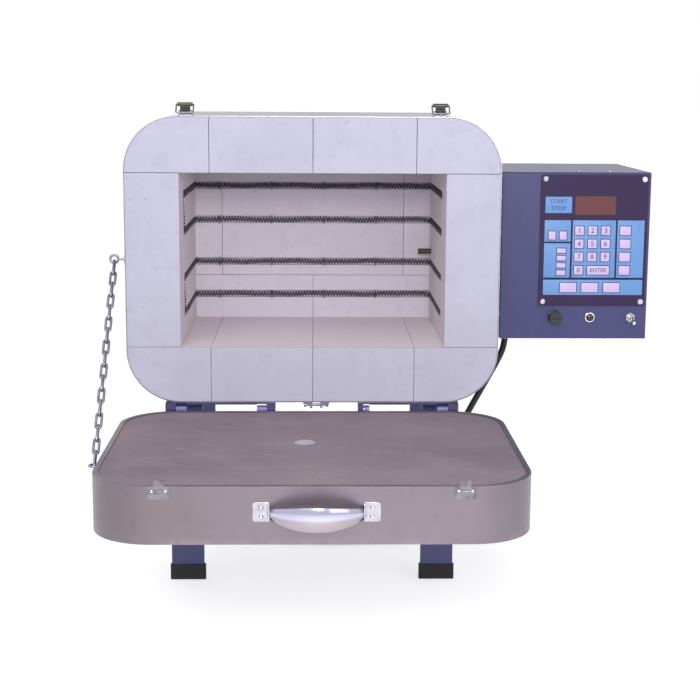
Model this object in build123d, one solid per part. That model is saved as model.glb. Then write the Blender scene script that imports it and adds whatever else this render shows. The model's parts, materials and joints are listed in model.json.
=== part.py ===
from build123d import *
import math
import os

os.makedirs("parts", exist_ok=True)

# Working frame: X to the right, Y to the back, Z up.
# X = 0 is the middle of the kiln, Y = 0 the front of its bricks, Z = 0 its underside.

# Kiln body
body_width = 418.0
body_height = 320.0
corner_radius = 60.0
jacket_wall = 1.0
skin_gap = 0.3
brick_joint = 0.5
brick_width = 114.3
side_wall = 60.0
floor_thickness = 62.0
roof_thickness = 61.0
chamber_depth = 226.0
rear_thickness = 63.5
rear_split_share = 0.276
back_panel_wall = 1.2

# Heating elements: coils in grooves round three walls
element_shares = (0.152, 0.365, 0.637, 0.857)
coil_diameter = 7.0
groove_height = 9.0
groove_depth = 7.0
coil_clearance = 0.4
element_bend = 6.5
element_front = 62.0
tail_diameter = 3.2
tail_reach = 24.0
bushing_diameter = 9.0
bushing_reach = 7.0
fit_gap = 0.2
pin_wire = 1.2
pin_count = 4

# Thermocouple through the right wall
probe_share = 0.446
probe_from_back = 21.0
probe_diameter = 6.5
probe_reach = 16.0

# Hinge between the body and the drop door
hinge_drop = 8.0
hinge_eye = 4.6
hinge_pin_diameter = 4.0
pin_clearance = 0.05
leaf_wall = 3.0
leaf_depth = 30.0
hinge_gap = 0.4
hinge_spans = ((-166.0, -142.0, -63.0, -42.0), (51.0, 64.0, 141.0, 165.0))

# Door, which lies open with its lining upwards
door_thickness = 55.5
door_lip = 4.0
door_skin_wall = 1.0
lining_inset = 0.3
peephole_diameter = 22.0
peephole_share = 0.475
peephole_x = -8.0
plug_clearance = 0.1
plug_cap_diameter = 34.0
plug_cap_height = 9.0

# Handle and keepers on the door's rim
handle_x = 4.0
handle_spacing = 102.0
handle_drop = 24.0
bracket_width = 16.0
bracket_height = 18.5
bracket_wall = 1.5
bracket_reach = 10.0
grip_bow = 21.0
grip_thickness = 7.0
grip_height = 23.0
grip_end_height = 10.0
latch_x = 140.5
keeper_width = 20.0
keeper_height = 12.0
keeper_wall = 1.2
keeper_hook = 6.0
keeper_lip = 1.0
keeper_tongue = 10.0

# Draw latches on the roof
latch_base_width = 16.0
latch_base_length = 20.0
latch_base_wall = 1.2
latch_front = 10.5
ear_length = 7.0
ear_height = 5.0
ear_wall = 1.2
latch_pin_diameter = 2.4
latch_pin_rise = 2.8
lever_width = 11.0
lever_reach = 8.5
lever_wall = 1.4
lever_tilt = 105.0
lever_barrel = 4.2
lever_bar = 16.5
loop_wire = 1.8
loop_length = 13.5
loop_tilt = 40.8
loop_bend = 1.6

# Legs
leg_height = 220.0
strap_width = 38.0
strap_wall = 4.0
strap_bend = 8.0
leg_x = 146.0
leg_front = 34.0
leg_rear = 256.0
boot_height = 18.0
boot_wall = 1.7
boot_sole = 4.0
bolt_inset = 45.0
bolt_head_diameter = 11.0
bolt_head_height = 4.0

# Jacket clamps under the floor
clamp_width = 30.0
clamp_depth = 12.0
clamp_drop = 7.6
clamp_places = (4.0, 268.0)

# Control box
box_gap = 7.5
box_width = 170.0
box_raise = 1.5
box_height = 192.0
box_front = 50.0
box_depth = 200.0
box_wall = 1.5
box_fold = 3.0
front_flange = 14.0
spacer_diameter = 14.0

# Controller plate and its membrane pads
plate_inset = 43.8
plate_raise = 38.5
plate_width = 123.3
plate_height = 151.0
plate_wall = 1.6
pad_relief = 0.5
key_rise = 0.4
screw_inset = 5.0

# Front fittings, all on one line below the plate
fitting_raise = 25.0
fuse_inset = 63.5
lamp_inset = 104.3
switch_inset = 151.5
fuse_cap_diameter = 16.5
fuse_cap_length = 10.0
lamp_diameter = 11.5
switch_bush_diameter = 6.4
lever_throw = 24.0

# Mains cord
cord_diameter = 8.0
cord_exit_inset = 26.5
cord_exit_y = 200.0
gland_reach = 13.5
coil_centre = (-10.0, 220.0)
coil_radius = 45.0
cord_coil_band = 27.0
cord_coil_height = 16.5

# Chain
chain_wire = 3.0
link_width = 8.6
link_count = 17
link_play = 0.3
eye_reach = 14.0
eye_ring = 4.5
eye_depth = 20.0
door_eye_depth = 22.0
upper_links = 7

half_width = body_width / 2
body_depth = chamber_depth + rear_thickness
chamber_half = half_width - jacket_wall - skin_gap - side_wall
chamber_top = body_height - jacket_wall - skin_gap - roof_thickness
chamber_floor = jacket_wall + skin_gap + floor_thickness
chamber_height = chamber_top - chamber_floor
element_levels = tuple(chamber_floor + share * chamber_height for share in element_shares)
probe_level = chamber_floor + probe_share * chamber_height
probe_depth = chamber_depth - probe_from_back
peephole_from_hinge = peephole_share * body_height
eye_x = half_width + eye_reach
eye_height = body_height / 2
door_top = -hinge_drop
door_back = -hinge_drop
door_front = door_back - body_height
box_left = half_width + box_gap
box_right = box_left + box_width
box_bottom = (body_height - box_height) / 2 + box_raise
box_top = box_bottom + box_height
box_back = box_front + box_depth
plate_left = box_left + plate_inset
plate_bottom = box_bottom + plate_raise
fitting_level = box_bottom + fitting_raise
fuse_x = box_left + fuse_inset
lamp_x = box_left + lamp_inset
switch_x = box_left + switch_inset
cord_exit_x = box_left + cord_exit_inset

# The model is placed so that its origin is on the floor, under the middle of its outline.
middle_x = (box_right - eye_x - eye_ring - chain_wire / 2) / 2
rear_most = body_depth + back_panel_wall
handle_front = door_front - bracket_wall - bracket_reach / 2 - grip_bow - grip_thickness / 2
middle_y = (rear_most + handle_front) / 2
to_origin = Location((-middle_x, -middle_y, leg_height))

kiln = {}


def keep(name, *solids):
    """Adds finished solids to a node of the assembly."""
    kiln.setdefault(name, []).extend(solids)


def block(x0, x1, y0, y1, z0, z1):
    """A box between two corners."""
    return Pos((x0 + x1) / 2, (y0 + y1) / 2, (z0 + z1) / 2) * Box(x1 - x0, y1 - y0, z1 - z0)


def rod(start, end, radius):
    """A round bar between two points."""
    run = Vector(*end) - Vector(*start)
    return extrude(Plane(origin=start, z_dir=run) * Circle(radius), run.length)


def upright(width, height, radius, y0, y1, base=0.0):
    """A rounded rectangle, standing on the level base, from y0 back to y1."""
    outline = RectangleRounded(width, height, radius)
    plane = Plane(origin=(0, y0, base + height / 2), x_dir=(1, 0, 0), z_dir=(0, 1, 0))
    return extrude(plane * outline, y1 - y0)


def lying(width, height, radius, z0, z1):
    """The same outline laid open in front of the hinge, from z0 up to z1."""
    outline = RectangleRounded(width, height, radius)
    centre = (0, door_back - body_height / 2, z0)
    return extrude(Plane(origin=centre) * outline, z1 - z0)


def tube_along(points, radii, radius):
    """A round tube along straight runs joined by arcs."""
    path = FilletPolyline(*points, radius=radii)
    return sweep(Plane(origin=path @ 0, z_dir=path % 0) * Circle(radius), path=path)


def fastener(place, direction, head, rise, shank, length):
    """A screw or bolt: its head stands on place and faces along direction."""
    seat = Plane(origin=place, z_dir=direction)
    top = extrude(seat * Circle(head), rise)
    top = chamfer(top.edges().group_by(Axis(seat.origin, seat.z_dir))[-1], rise * 0.4)
    return top + extrude(seat * Circle(shank), -length)


def fastener_hole(place, direction, shank, length, gap=0.1):
    """The hole for the shank of such a fastener."""
    seat = Plane(origin=place, z_dir=direction)
    return extrude(seat * Circle(shank + gap), -length) + extrude(seat * Circle(shank + gap), 1)


# Grooves for the heating elements
# Each pair of levels is one coil: in at the right wall, round the back, down the left wall and home.

groove_back = body_depth - rear_thickness
coil_line = coil_diameter / 2 - 1.0
coil_x = chamber_half + coil_line
coil_y = groove_back + coil_line


def groove(level):
    """The U of space that one level of coil takes out of the walls."""
    half = groove_height / 2
    low, high = level - half, level + half
    deep = chamber_half + groove_depth
    front = element_front - half
    right = block(chamber_half - 1, deep, front, groove_back + groove_depth, low, high)
    left = block(-deep, -chamber_half + 1, front, groove_back + groove_depth, low, high)
    back = block(-deep, deep, groove_back - 1, groove_back + groove_depth, low, high)
    return right + left + back


def riser(lower, upper):
    """The upright slot on the left wall where a coil turns down to its next level."""
    half = groove_height / 2
    deep = chamber_half + groove_depth
    return block(-deep, -chamber_half + 1, element_front - half, element_front + half, lower, upper)


pin_step = 2 * chamber_half / (pin_count + 0.5)
pin_places = [-chamber_half + pin_step * (number + 0.45) for number in range(pin_count)]
grooves = [groove(level) for level in element_levels]
risers = [riser(*element_levels[:2]), riser(*element_levels[2:])]


def heating_element(lower, upper):
    """One coil over two levels, drawn as the tube that its turns fill."""
    start = element_front + tail_diameter / 2 + fit_gap
    points = (
        (coil_x, start, upper),
        (coil_x, coil_y, upper),
        (-coil_x, coil_y, upper),
        (-coil_x, element_front, upper),
        (-coil_x, element_front, lower),
        (-coil_x, coil_y, lower),
        (coil_x, coil_y, lower),
        (coil_x, start, lower),
    )
    return tube_along(points, element_bend, coil_diameter / 2)


def element_tail(level):
    """The straight end of the wire, out through the wall to its clamp in the control box."""
    inner = (coil_x - tail_diameter / 2, element_front, level)
    return rod(inner, (box_left + box_wall + tail_reach, element_front, level), tail_diameter / 2)


def tail_bushing(level):
    """The porcelain tube round a tail, through brick, jacket and box."""
    inner = (chamber_half + groove_depth + fit_gap, element_front, level)
    outer = (box_left + box_wall + bushing_reach, element_front, level)
    return rod(inner, outer, bushing_diameter / 2) - rod(inner, outer, tail_diameter / 2 + fit_gap)


def side_bore(y, z, diameter):
    """A bore through the right wall and the side of the control box."""
    return rod((chamber_half - 1, y, z), (box_left + box_wall + 1, y, z), diameter / 2 + fit_gap)


tail_bores = [side_bore(element_front, level, bushing_diameter) for level in element_levels]
probe_bore = side_bore(probe_depth, probe_level, probe_diameter)


def wire_pin(x, level):
    """A hairpin over the coil, pushed into the back wall."""
    reach = coil_diameter / 2 + coil_clearance
    front = coil_y - reach - pin_wire
    tail = coil_y + reach + 9.0
    legs = [
        block(x, x + pin_wire, front, tail, level + side * (reach + pin_wire / 2) - pin_wire / 2,
              level + side * (reach + pin_wire / 2) + pin_wire / 2)
        for side in (-1, 1)
    ]
    bridge = block(x, x + pin_wire, front, front + pin_wire, level - reach - pin_wire, level + reach + pin_wire)
    return bridge + legs[0] + legs[1]


# Refractory bricks, trimmed to the round corners of the jacket

brick_outline = upright(
    body_width - 2 * (jacket_wall + skin_gap),
    body_height - 2 * (jacket_wall + skin_gap),
    corner_radius - jacket_wall - skin_gap,
    0,
    body_depth,
    jacket_wall + skin_gap,
)
half_joint = brick_joint / 2


def brick(x0, x1, y0, y1, z0, z1):
    """A brick between two corners, less half a joint where it meets its neighbours."""
    raw = block(x0 + half_joint, x1 - half_joint, y0, y1, z0 + half_joint, z1 - half_joint)
    return raw & brick_outline


def wall_joints():
    """The edges of the four bricks in the floor and roof courses, from left to right."""
    return (-half_width, -brick_width, 0.0, brick_width, half_width)


course_edges = wall_joints()
front_courses = list(zip(course_edges, course_edges[1:]))
chamber_back = chamber_depth - brick_joint
for left, right in front_courses:
    keep("floor_bricks", brick(left, right, 0, chamber_back, -1, chamber_floor))
    keep("roof_bricks", brick(left, right, 0, chamber_back, chamber_top, body_height + 1))

side_left = brick(-half_width - 1, -chamber_half, 0, chamber_back, chamber_floor, chamber_top)
side_right = brick(chamber_half, half_width + 1, 0, chamber_back, chamber_floor, chamber_top)
for cut in grooves + risers:
    side_left -= cut
for cut in grooves + tail_bores + [probe_bore]:
    side_right -= cut
keep("side_bricks", side_left, side_right)

rear_split = chamber_floor + rear_split_share * chamber_height
rear_uppers = ((-half_width - 1, -brick_width), (-brick_width, brick_width), (brick_width, half_width + 1))
rear_lowers = ((-half_width - 1, 0.0), (0.0, half_width + 1))
rear_wall_bricks = [
    brick(left, right, chamber_depth, body_depth, rear_split, body_height + 1) for left, right in rear_uppers
] + [
    brick(left, right, chamber_depth, body_depth, -1, rear_split) for left, right in rear_lowers
]
for shape in rear_wall_bricks:
    for cut in grooves:
        shape -= cut
    keep("rear_bricks", shape)

keep("heating_element_lower", heating_element(*element_levels[:2]))
keep("heating_element_upper", heating_element(*element_levels[2:]))
for level in element_levels:
    keep("element_tails", element_tail(level))
    keep("tail_bushings", tail_bushing(level))
    for place in pin_places:
        keep("element_pins", wire_pin(place, level))

probe_tip = (chamber_half - probe_reach, probe_depth, probe_level)
probe_end = (box_left + box_wall + tail_reach, probe_depth, probe_level)
probe_head = block(probe_end[0], probe_end[0] + 18, probe_depth - 11, probe_depth + 11, probe_level - 8, probe_level + 8)
keep("thermocouple", rod(probe_tip, probe_end, probe_diameter / 2) + probe_head)

# Sheet-steel jacket, drawn together under the floor by two clamps

jacket = upright(body_width, body_height, corner_radius, 0, body_depth + back_panel_wall)
jacket -= upright(
    body_width - 2 * jacket_wall,
    body_height - 2 * jacket_wall,
    corner_radius - jacket_wall,
    -1,
    body_depth + back_panel_wall + 1,
    jacket_wall,
)
for cut in tail_bores + [probe_bore]:
    jacket -= cut

back_panel = upright(
    body_width - 2 * (jacket_wall + skin_gap),
    body_height - 2 * (jacket_wall + skin_gap),
    corner_radius - jacket_wall - skin_gap,
    body_depth,
    body_depth + back_panel_wall,
    jacket_wall + skin_gap,
)
back_screw_inset = 18.0
back_screw_x = half_width - back_screw_inset
back_screw_places = [
    (x, z)
    for x, z in (
        (-back_screw_x, body_height * 0.3), (-back_screw_x, body_height * 0.7),
        (back_screw_x, body_height * 0.3), (back_screw_x, body_height * 0.7),
        (-brick_width, back_screw_inset), (brick_width, back_screw_inset),
        (-brick_width, body_height - back_screw_inset), (brick_width, body_height - back_screw_inset),
    )
]
small_head, small_rise, small_shank, small_length = 3.6, 1.8, 1.6, 9.0


def small_screw(place, direction):
    """A pan-head sheet-metal screw."""
    return fastener(place, direction, small_head, small_rise, small_shank, small_length)


def small_hole(place, direction):
    """The hole for a pan-head screw."""
    return fastener_hole(place, direction, small_shank, small_length)


for x, z in back_screw_places:
    place = (x, body_depth + back_panel_wall, z)
    keep("back_panel_screws", small_screw(place, (0, 1, 0)))
    back_panel -= small_hole(place, (0, 1, 0))
    for number, shape in enumerate(kiln["rear_bricks"]):
        kiln["rear_bricks"][number] = shape - small_hole(place, (0, 1, 0))
keep("back_panel", back_panel)


def jacket_clamp(y):
    """Two bent lugs on the ends of the jacket, and the bolt that pulls them together."""
    half = clamp_width / 2
    lug_wall = 2.5
    gap = 9.0
    lugs = []
    for side in (-1, 1):
        foot = block(min(side * half, side * gap / 2), max(side * half, side * gap / 2), y, y + clamp_depth, -lug_wall, 0)
        inner = side * gap / 2
        stand = block(min(inner, inner + side * lug_wall), max(inner, inner + side * lug_wall), y, y + clamp_depth, -clamp_drop, 0)
        lugs.append(foot + stand)
    level = -clamp_drop / 2 - 1
    bolt = rod((-half + 1, y + clamp_depth / 2, level), (half - 1, y + clamp_depth / 2, level), 1.5)
    nut = Pos(half - 3.5, y + clamp_depth / 2, level) * Rot(0, 90, 0) * extrude(RegularPolygon(2.6, 6), 2.4)
    head = rod((-half + 1, y + clamp_depth / 2, level), (-half + 3.5, y + clamp_depth / 2, level), 2.6)
    bore = rod((-half, y + clamp_depth / 2, level), (half, y + clamp_depth / 2, level), 1.6)
    return [lug - bore for lug in lugs] + [bolt + nut + head]


for y in clamp_places:
    keep("jacket_clamps", *[Pos(4, 0, 0) * piece for piece in jacket_clamp(y)])

# Hinges: each has a leaf on the body, a leaf on the door and two short pins


def hinge_lug(x0, x1, turned):
    """The end of a leaf that carries the pin: upright on the body, lying back on the door."""
    eye = rod((x0, 0, -hinge_drop), (x1, 0, -hinge_drop), hinge_eye)
    # The corner that faces the other casing is rounded about the pin, so that the casing passes it.
    swing = rod((x0 - 1, 0, -hinge_drop), (x1 + 1, 0, -hinge_drop), hinge_drop - hinge_gap)
    if turned:
        web = block(x0, x1, door_back, 0, -hinge_drop - hinge_eye, -hinge_drop + hinge_eye)
        corner = block(x0 - 1, x1 + 1, door_back - 1, 0, -hinge_drop, 0)
    else:
        web = block(x0, x1, -hinge_eye, hinge_eye, -hinge_drop, 0)
        corner = block(x0 - 1, x1 + 1, -hinge_drop, 0, -hinge_drop, 1)
    return eye + (web - (corner - swing))


def pin_bore(x0, x1, gap):
    """The hole for a hinge pin."""
    return rod((x0 - 1, 0, -hinge_drop), (x1 + 1, 0, -hinge_drop), hinge_pin_diameter / 2 + gap)


for start, outer, inner, end in hinge_spans:
    first = (start + outer) / 2
    second = (inner + end) / 2
    half_gap = hinge_gap / 2
    body_lugs = ((start, first - half_gap), (second + half_gap, end))
    door_lugs = ((first + half_gap, outer), (inner, second - half_gap))
    body_leaf = block(start, end, hinge_gap + 1, leaf_depth, -leaf_wall, 0)
    door_leaf = block(start, end, door_back, door_back + leaf_wall, door_top - leaf_depth, door_top - hinge_gap - 1)
    for x0, x1 in door_lugs:
        body_leaf -= block(x0 - half_gap, x1 + half_gap, 0, hinge_eye + hinge_gap, -leaf_wall - 1, 1)
    for x0, x1 in body_lugs:
        room = block(x0 - half_gap, x1 + half_gap, door_back - 1, 0, door_top - hinge_eye - hinge_gap, 0)
        door_leaf -= room
    for x0, x1 in body_lugs:
        body_leaf += hinge_lug(x0, x1, False)
    for x0, x1 in door_lugs:
        door_leaf += hinge_lug(x0, x1, True)
    for x0, x1 in body_lugs + door_lugs:
        body_leaf -= pin_bore(x0, x1, pin_clearance)
        door_leaf -= pin_bore(x0, x1, pin_clearance)
    keep("body_hinge_leaves", body_leaf)
    keep("door_hinge_leaves", door_leaf)
    for x0, x1 in ((start, outer), (inner, end)):
        keep("hinge_pins", rod((x0, 0, -hinge_drop), (x1, 0, -hinge_drop), hinge_pin_diameter / 2))

# Legs: each side is one strap, bent down at the front and the back and shod in rubber


def leg_frame(x):
    """A strap along the underside with both ends bent down to the floor."""
    low = -leg_height + boot_sole
    left, right = x - strap_width / 2, x + strap_width / 2
    outer = block(left, right, leg_front, leg_rear, low, 0)
    outer = fillet(outer.edges().filter_by(Axis.X).group_by(Axis.Z)[-1], strap_bend)
    inner = block(left - 1, right + 1, leg_front + strap_wall, leg_rear - strap_wall, low - 1, -strap_wall)
    return outer - fillet(inner.edges().filter_by(Axis.X).group_by(Axis.Z)[-1], strap_bend - strap_wall)


def leg_boot(x, y):
    """A rubber boot over the end of a strap."""
    outer = block(
        x - strap_width / 2 - boot_wall,
        x + strap_width / 2 + boot_wall,
        y - boot_wall,
        y + strap_wall + boot_wall,
        -leg_height,
        -leg_height + boot_height,
    )
    outer = fillet(outer.edges().filter_by(Axis.Z), boot_wall * 0.8)
    return outer - block(
        x - strap_width / 2, x + strap_width / 2, y, y + strap_wall, -leg_height + boot_sole, 0
    )


bolt_places = [(x, y) for x in (-leg_x, leg_x) for y in (leg_front + bolt_inset, leg_rear - bolt_inset)]
leg_shank, leg_bolt_length = 3.0, 14.0
for x in (-leg_x, leg_x):
    frame = leg_frame(x)
    for bolt_x, bolt_y in bolt_places:
        frame -= fastener_hole((bolt_x, bolt_y, -strap_wall), (0, 0, -1), leg_shank, strap_wall)
    keep("leg_frames", frame)
    for y in (leg_front, leg_rear - strap_wall):
        keep("leg_boots", leg_boot(x, y))
for x, y in bolt_places:
    place = (x, y, -strap_wall)
    head = bolt_head_diameter / 2
    keep("leg_bolts", fastener(place, (0, 0, -1), head, bolt_head_height, leg_shank, leg_bolt_length))
    hole = fastener_hole(place, (0, 0, -1), leg_shank, leg_bolt_length)
    jacket -= hole
    kiln["floor_bricks"] = [shape - hole for shape in kiln["floor_bricks"]]

# Draw latches: a base on the roof, a lever on the base and a wire loop on the lever

latch_pin_y = latch_front + 3.0
latch_pin_z = body_height + latch_base_wall + latch_pin_rise
ear_x = lever_width / 2 + 0.3
latch_pin_end = ear_x + ear_wall
loop_y = latch_pin_y + lever_reach * math.cos(math.radians(lever_tilt))
loop_z = latch_pin_z + lever_reach * math.sin(math.radians(lever_tilt))


def latch_base(x):
    """A plate riveted to the jacket, with two ears and the lever's pin."""
    left, back = x - latch_base_width / 2, latch_front + latch_base_length
    top = body_height + latch_base_wall
    plate = block(left, left + latch_base_width, latch_front, back, body_height, top)
    plate = fillet(plate.edges().filter_by(Axis.Z), 2.0)
    for side in (-1, 1):
        near, far = side * ear_x, side * latch_pin_end
        ear = block(x + min(near, far), x + max(near, far), latch_front, latch_front + ear_length,
                    body_height, top + ear_height)
        plate += fillet(ear.edges().filter_by(Axis.X).group_by(Axis.Z)[-1], 2.0)
    return plate + rod((x - latch_pin_end, latch_pin_y, latch_pin_z),
                       (x + latch_pin_end, latch_pin_y, latch_pin_z), latch_pin_diameter / 2)


def across(width, y, radius):
    """A round bar across the lever, at a distance y from its pin."""
    return rod((-width / 2, y, 0), (width / 2, y, 0), radius)


def latch_lever(x):
    """A pressed lever that stands open at rest and turns down flat to lock."""
    half = lever_width / 2
    plate = block(-half, half, 0, lever_reach, 0.8, 0.8 + lever_wall)
    knuckle = across(lever_width, 0, latch_pin_diameter / 2 + 1.0)
    barrel = across(lever_bar, lever_reach, lever_barrel / 2)
    cheeks = block(-half, -half + 1.2, 0, lever_reach, -1.4, 1.2) + block(half - 1.2, half, 0, lever_reach, -1.4, 1.2)
    body = plate + knuckle + barrel + cheeks
    body -= across(lever_width + 2, 0, latch_pin_diameter / 2 + pin_clearance)
    body -= across(lever_bar + 2, lever_reach, loop_wire / 2 + pin_clearance)
    return Pos(x, latch_pin_y, latch_pin_z) * Rot(lever_tilt, 0, 0) * body


def latch_loop(x):
    """A wire loop through the lever's bar, which reaches forward for the door's keeper."""
    wire = loop_wire / 2
    half = lever_bar / 2 + wire + 0.3
    end = half - 4.0
    shape = ((-end, 0, 0), (-half, 0, 0), (-half, -loop_length, 0), (half, -loop_length, 0), (half, 0, 0), (end, 0, 0))
    return Pos(x, loop_y, loop_z) * Rot(loop_tilt, 0, 0) * tube_along(shape, loop_bend, wire)


for side, x in (("left", -latch_x), ("right", latch_x)):
    keep("latch_bases", latch_base(x))
    keep(f"latch_lever_{side}", latch_lever(x))
    keep(f"latch_loop_{side}", latch_loop(x))

# Drop door

door_band = lying(body_width, body_height, corner_radius, door_top - door_thickness, door_top)
door_room = lying(
    body_width - 2 * jacket_wall,
    body_height - 2 * jacket_wall,
    corner_radius - jacket_wall,
    door_top - door_thickness - 1,
    door_top - jacket_wall,
)
door_mouth = lying(
    body_width - 2 * (jacket_wall + door_lip),
    body_height - 2 * (jacket_wall + door_lip),
    corner_radius - jacket_wall - door_lip,
    door_top - door_thickness - 1,
    door_top + 1,
)
door_band -= door_room
door_band -= door_mouth

peephole = rod(
    (peephole_x, -peephole_from_hinge, door_top + 2),
    (peephole_x, -peephole_from_hinge, door_top - door_thickness - 2),
    peephole_diameter / 2 + plug_clearance,
)
door_skin = lying(
    body_width - 2 * (jacket_wall + skin_gap),
    body_height - 2 * (jacket_wall + skin_gap),
    corner_radius - jacket_wall - skin_gap,
    door_top - door_thickness,
    door_top - door_thickness + door_skin_wall,
)
door_lining = lying(
    body_width - 2 * (jacket_wall + skin_gap),
    body_height - 2 * (jacket_wall + skin_gap),
    corner_radius - jacket_wall - skin_gap,
    door_top - door_thickness + door_skin_wall,
    door_top - jacket_wall - lining_inset,
)
keep("door_band", door_band)
keep("door_skin", door_skin - peephole)
keep("door_lining", door_lining - peephole)

plug_bottom = door_top - door_thickness - fit_gap
plug_stem = rod(
    (peephole_x, -peephole_from_hinge, plug_bottom),
    (peephole_x, -peephole_from_hinge, door_top - jacket_wall - lining_inset),
    peephole_diameter / 2,
)
plug_cap = extrude(
    Plane(origin=(peephole_x, -peephole_from_hinge, plug_bottom)) * Circle(plug_cap_diameter / 2),
    -plug_cap_height,
    taper=12,
)
keep("peephole_plug", plug_stem + plug_cap)

# Handle: two riveted brackets and a bowed grip with a lens-shaped front

rim = door_front
handle_level = door_top - handle_drop


def handle_bracket(x):
    """A bent plate on the rim with a lug that holds the end of the grip."""
    side = 1 if x > handle_x else -1
    plate = block(
        x - bracket_width / 2,
        x + bracket_width / 2,
        rim - bracket_wall,
        rim,
        handle_level - bracket_height / 2,
        handle_level + bracket_height / 2,
    )
    edge = x - side * bracket_width / 2
    lug = block(
        min(edge, edge + side * bracket_wall),
        max(edge, edge + side * bracket_wall),
        rim - bracket_wall - bracket_reach,
        rim,
        handle_level - grip_end_height / 2 - 1.5,
        handle_level + grip_end_height / 2 + 1.5,
    )
    return fillet(plate.edges().filter_by(Axis.Y), 2.0) + lug


def handle_grip():
    """A bow between the brackets, thick in the middle and narrow at its ends."""
    reach = handle_spacing / 2 - bracket_width / 2 - fit_gap
    back = rim - bracket_wall - bracket_reach / 2
    end = grip_thickness / 2
    outer = ThreePointArc((-reach, back - end), (0, back - grip_bow - end), (reach, back - end))
    inner = ThreePointArc((reach, back + end), (0, back - grip_bow + end), (-reach, back + end))
    plan = make_face([outer, Line(outer @ 1, inner @ 0), inner, Line(inner @ 1, outer @ 0)])
    bow = extrude(Plane(origin=(handle_x, 0, handle_level - grip_height)) * plan, 2 * grip_height)
    upper = ThreePointArc((-reach, grip_end_height / 2), (0, grip_height / 2), (reach, grip_end_height / 2))
    lower = ThreePointArc((reach, -grip_end_height / 2), (0, -grip_height / 2), (-reach, -grip_end_height / 2))
    front = make_face([upper, Line(upper @ 1, lower @ 0), lower, Line(lower @ 1, upper @ 0)])
    look = Plane(origin=(handle_x, rim, handle_level), x_dir=(1, 0, 0), z_dir=(0, -1, 0))
    return bow & extrude(look * front, 100)


for x in (handle_x - handle_spacing / 2, handle_x + handle_spacing / 2):
    keep("handle_brackets", handle_bracket(x))
keep("door_handle", handle_grip())


def keeper(x):
    """A plate on the rim, with a narrower tongue over the parting line and a hook on its end."""
    left, right = x - keeper_width / 2, x + keeper_width / 2
    plate = block(left, right, rim - keeper_wall, rim, door_top - keeper_height, door_top)
    plate = fillet(plate.edges().filter_by(Axis.Y).group_by(Axis.Z)[0], 3.0)
    tongue_half = keeper_tongue / 2
    tongue = block(x - tongue_half, x + tongue_half, rim - keeper_wall, rim, door_top, door_top + keeper_hook)
    hook_low = door_top + keeper_hook - keeper_wall
    hook = block(x - tongue_half, x + tongue_half, rim - keeper_wall - keeper_lip, rim - keeper_wall,
                 hook_low, door_top + keeper_hook)
    rib = rod((x - 2.5, rim - keeper_wall, door_top - 5.0), (x + 2.5, rim - keeper_wall, door_top - 5.0), 1.2)
    return plate + tongue + hook + (rib & block(left, right, rim - 9, rim, door_top - 9, door_top))


for x in (-latch_x, latch_x):
    keep("keepers", keeper(x))

# Chain: oval links, each turned a quarter from the last, between two eyes

wire = chain_wire / 2
ring_wire = 1.4
hang = (eye_depth, eye_height - eye_ring)
door_hang = (-(eye_height + hinge_drop) + eye_ring, -hinge_drop - door_eye_depth)
chain_run = (door_hang[0] - hang[0], door_hang[1] - hang[1])
chain_length = math.hypot(*chain_run)


def ring_gap():
    """How far the middle of an end link stands from the ring that it hangs on."""
    return link_half() - wire - ring_wire - link_play / 2


def link_pitch():
    """The step from link to link that fills the length between the two rings."""
    return (chain_length + 2 * ring_wire) / link_count


def link_half():
    """Half the length of a link, to the middle of its end wire."""
    return (link_pitch() + chain_wire + link_play) / 2


def chain_link():
    """An oval of six-sided wire, lying along X in the plane XY."""
    bend = link_width / 2 - wire
    straight = link_half() - bend
    section = RegularPolygon(wire, 6, rotation=30)
    arm = extrude(Plane.YZ * section, straight, both=True)
    turn = revolve(Plane(origin=(straight, bend, 0), x_dir=(0, 1, 0), z_dir=(1, 0, 0)) * section,
                   Axis((straight, 0, 0), (0, 0, 1)), -180)
    half = Pos(0, bend, 0) * arm + turn
    return half + Rot(0, 0, 180) * half


def link_place(number):
    """Where link number sits, counted from the body's eye."""
    run = ring_gap() + number * link_pitch()
    share = run / chain_length
    tilt = math.degrees(math.atan2(chain_run[1], chain_run[0]))
    place = Pos(-eye_x, hang[0] + chain_run[0] * share, hang[1] + chain_run[1] * share)
    upright_link = number % 2 == 0
    return place * Rot(0, 0, 90) * Rot(0, -tilt, 0) * Rot(0 if not upright_link else 90, 0, 0)


chain_parts = (
    ("chain_upper", range(0, upper_links)),
    ("chain_bend_upper", (upper_links,)),
    ("chain_middle", (upper_links + 1,)),
    ("chain_bend_lower", (upper_links + 2,)),
    ("chain_lower", range(upper_links + 3, link_count)),
)
for name, numbers in chain_parts:
    for number in numbers:
        keep(name, link_place(number) * chain_link())


def eye(y, z, flat):
    """A ring on a shank that screws into the side of its casing."""
    turn = Rot(0, 0, 0) if flat else Rot(90, 0, 0)
    ring = Pos(-eye_x, y, z) * turn * Torus(eye_ring, ring_wire)
    shank = rod((-eye_x + eye_ring, y, z), (-half_width + 9, y, z), ring_wire)
    collar = rod((-half_width - 3, y, z), (-half_width, y, z), 4.0)
    return ring + shank + collar


body_eye = (eye_depth, eye_height)
door_eye = (door_hang[0] - eye_ring, door_hang[1])
keep("body_chain_eye", eye(*body_eye, False))
keep("door_chain_eye", eye(*door_eye, True))
for name, (y, z) in (("side_bricks", body_eye), ("door_lining", door_eye)):
    bore = rod((-half_width - 1, y, z), (-half_width + 10, y, z), ring_wire + 0.1)
    kiln[name] = [shape - bore for shape in kiln[name]]
jacket -= rod((-half_width - 1, *body_eye), (-half_width + 10, *body_eye), ring_wire + 0.1)
kiln["door_band"] = [
    kiln["door_band"][0] - rod((-half_width - 1, *door_eye), (-half_width + 10, *door_eye), ring_wire + 0.1)
]

# Control box: a case open at the front, closed by a folded pan


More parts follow.
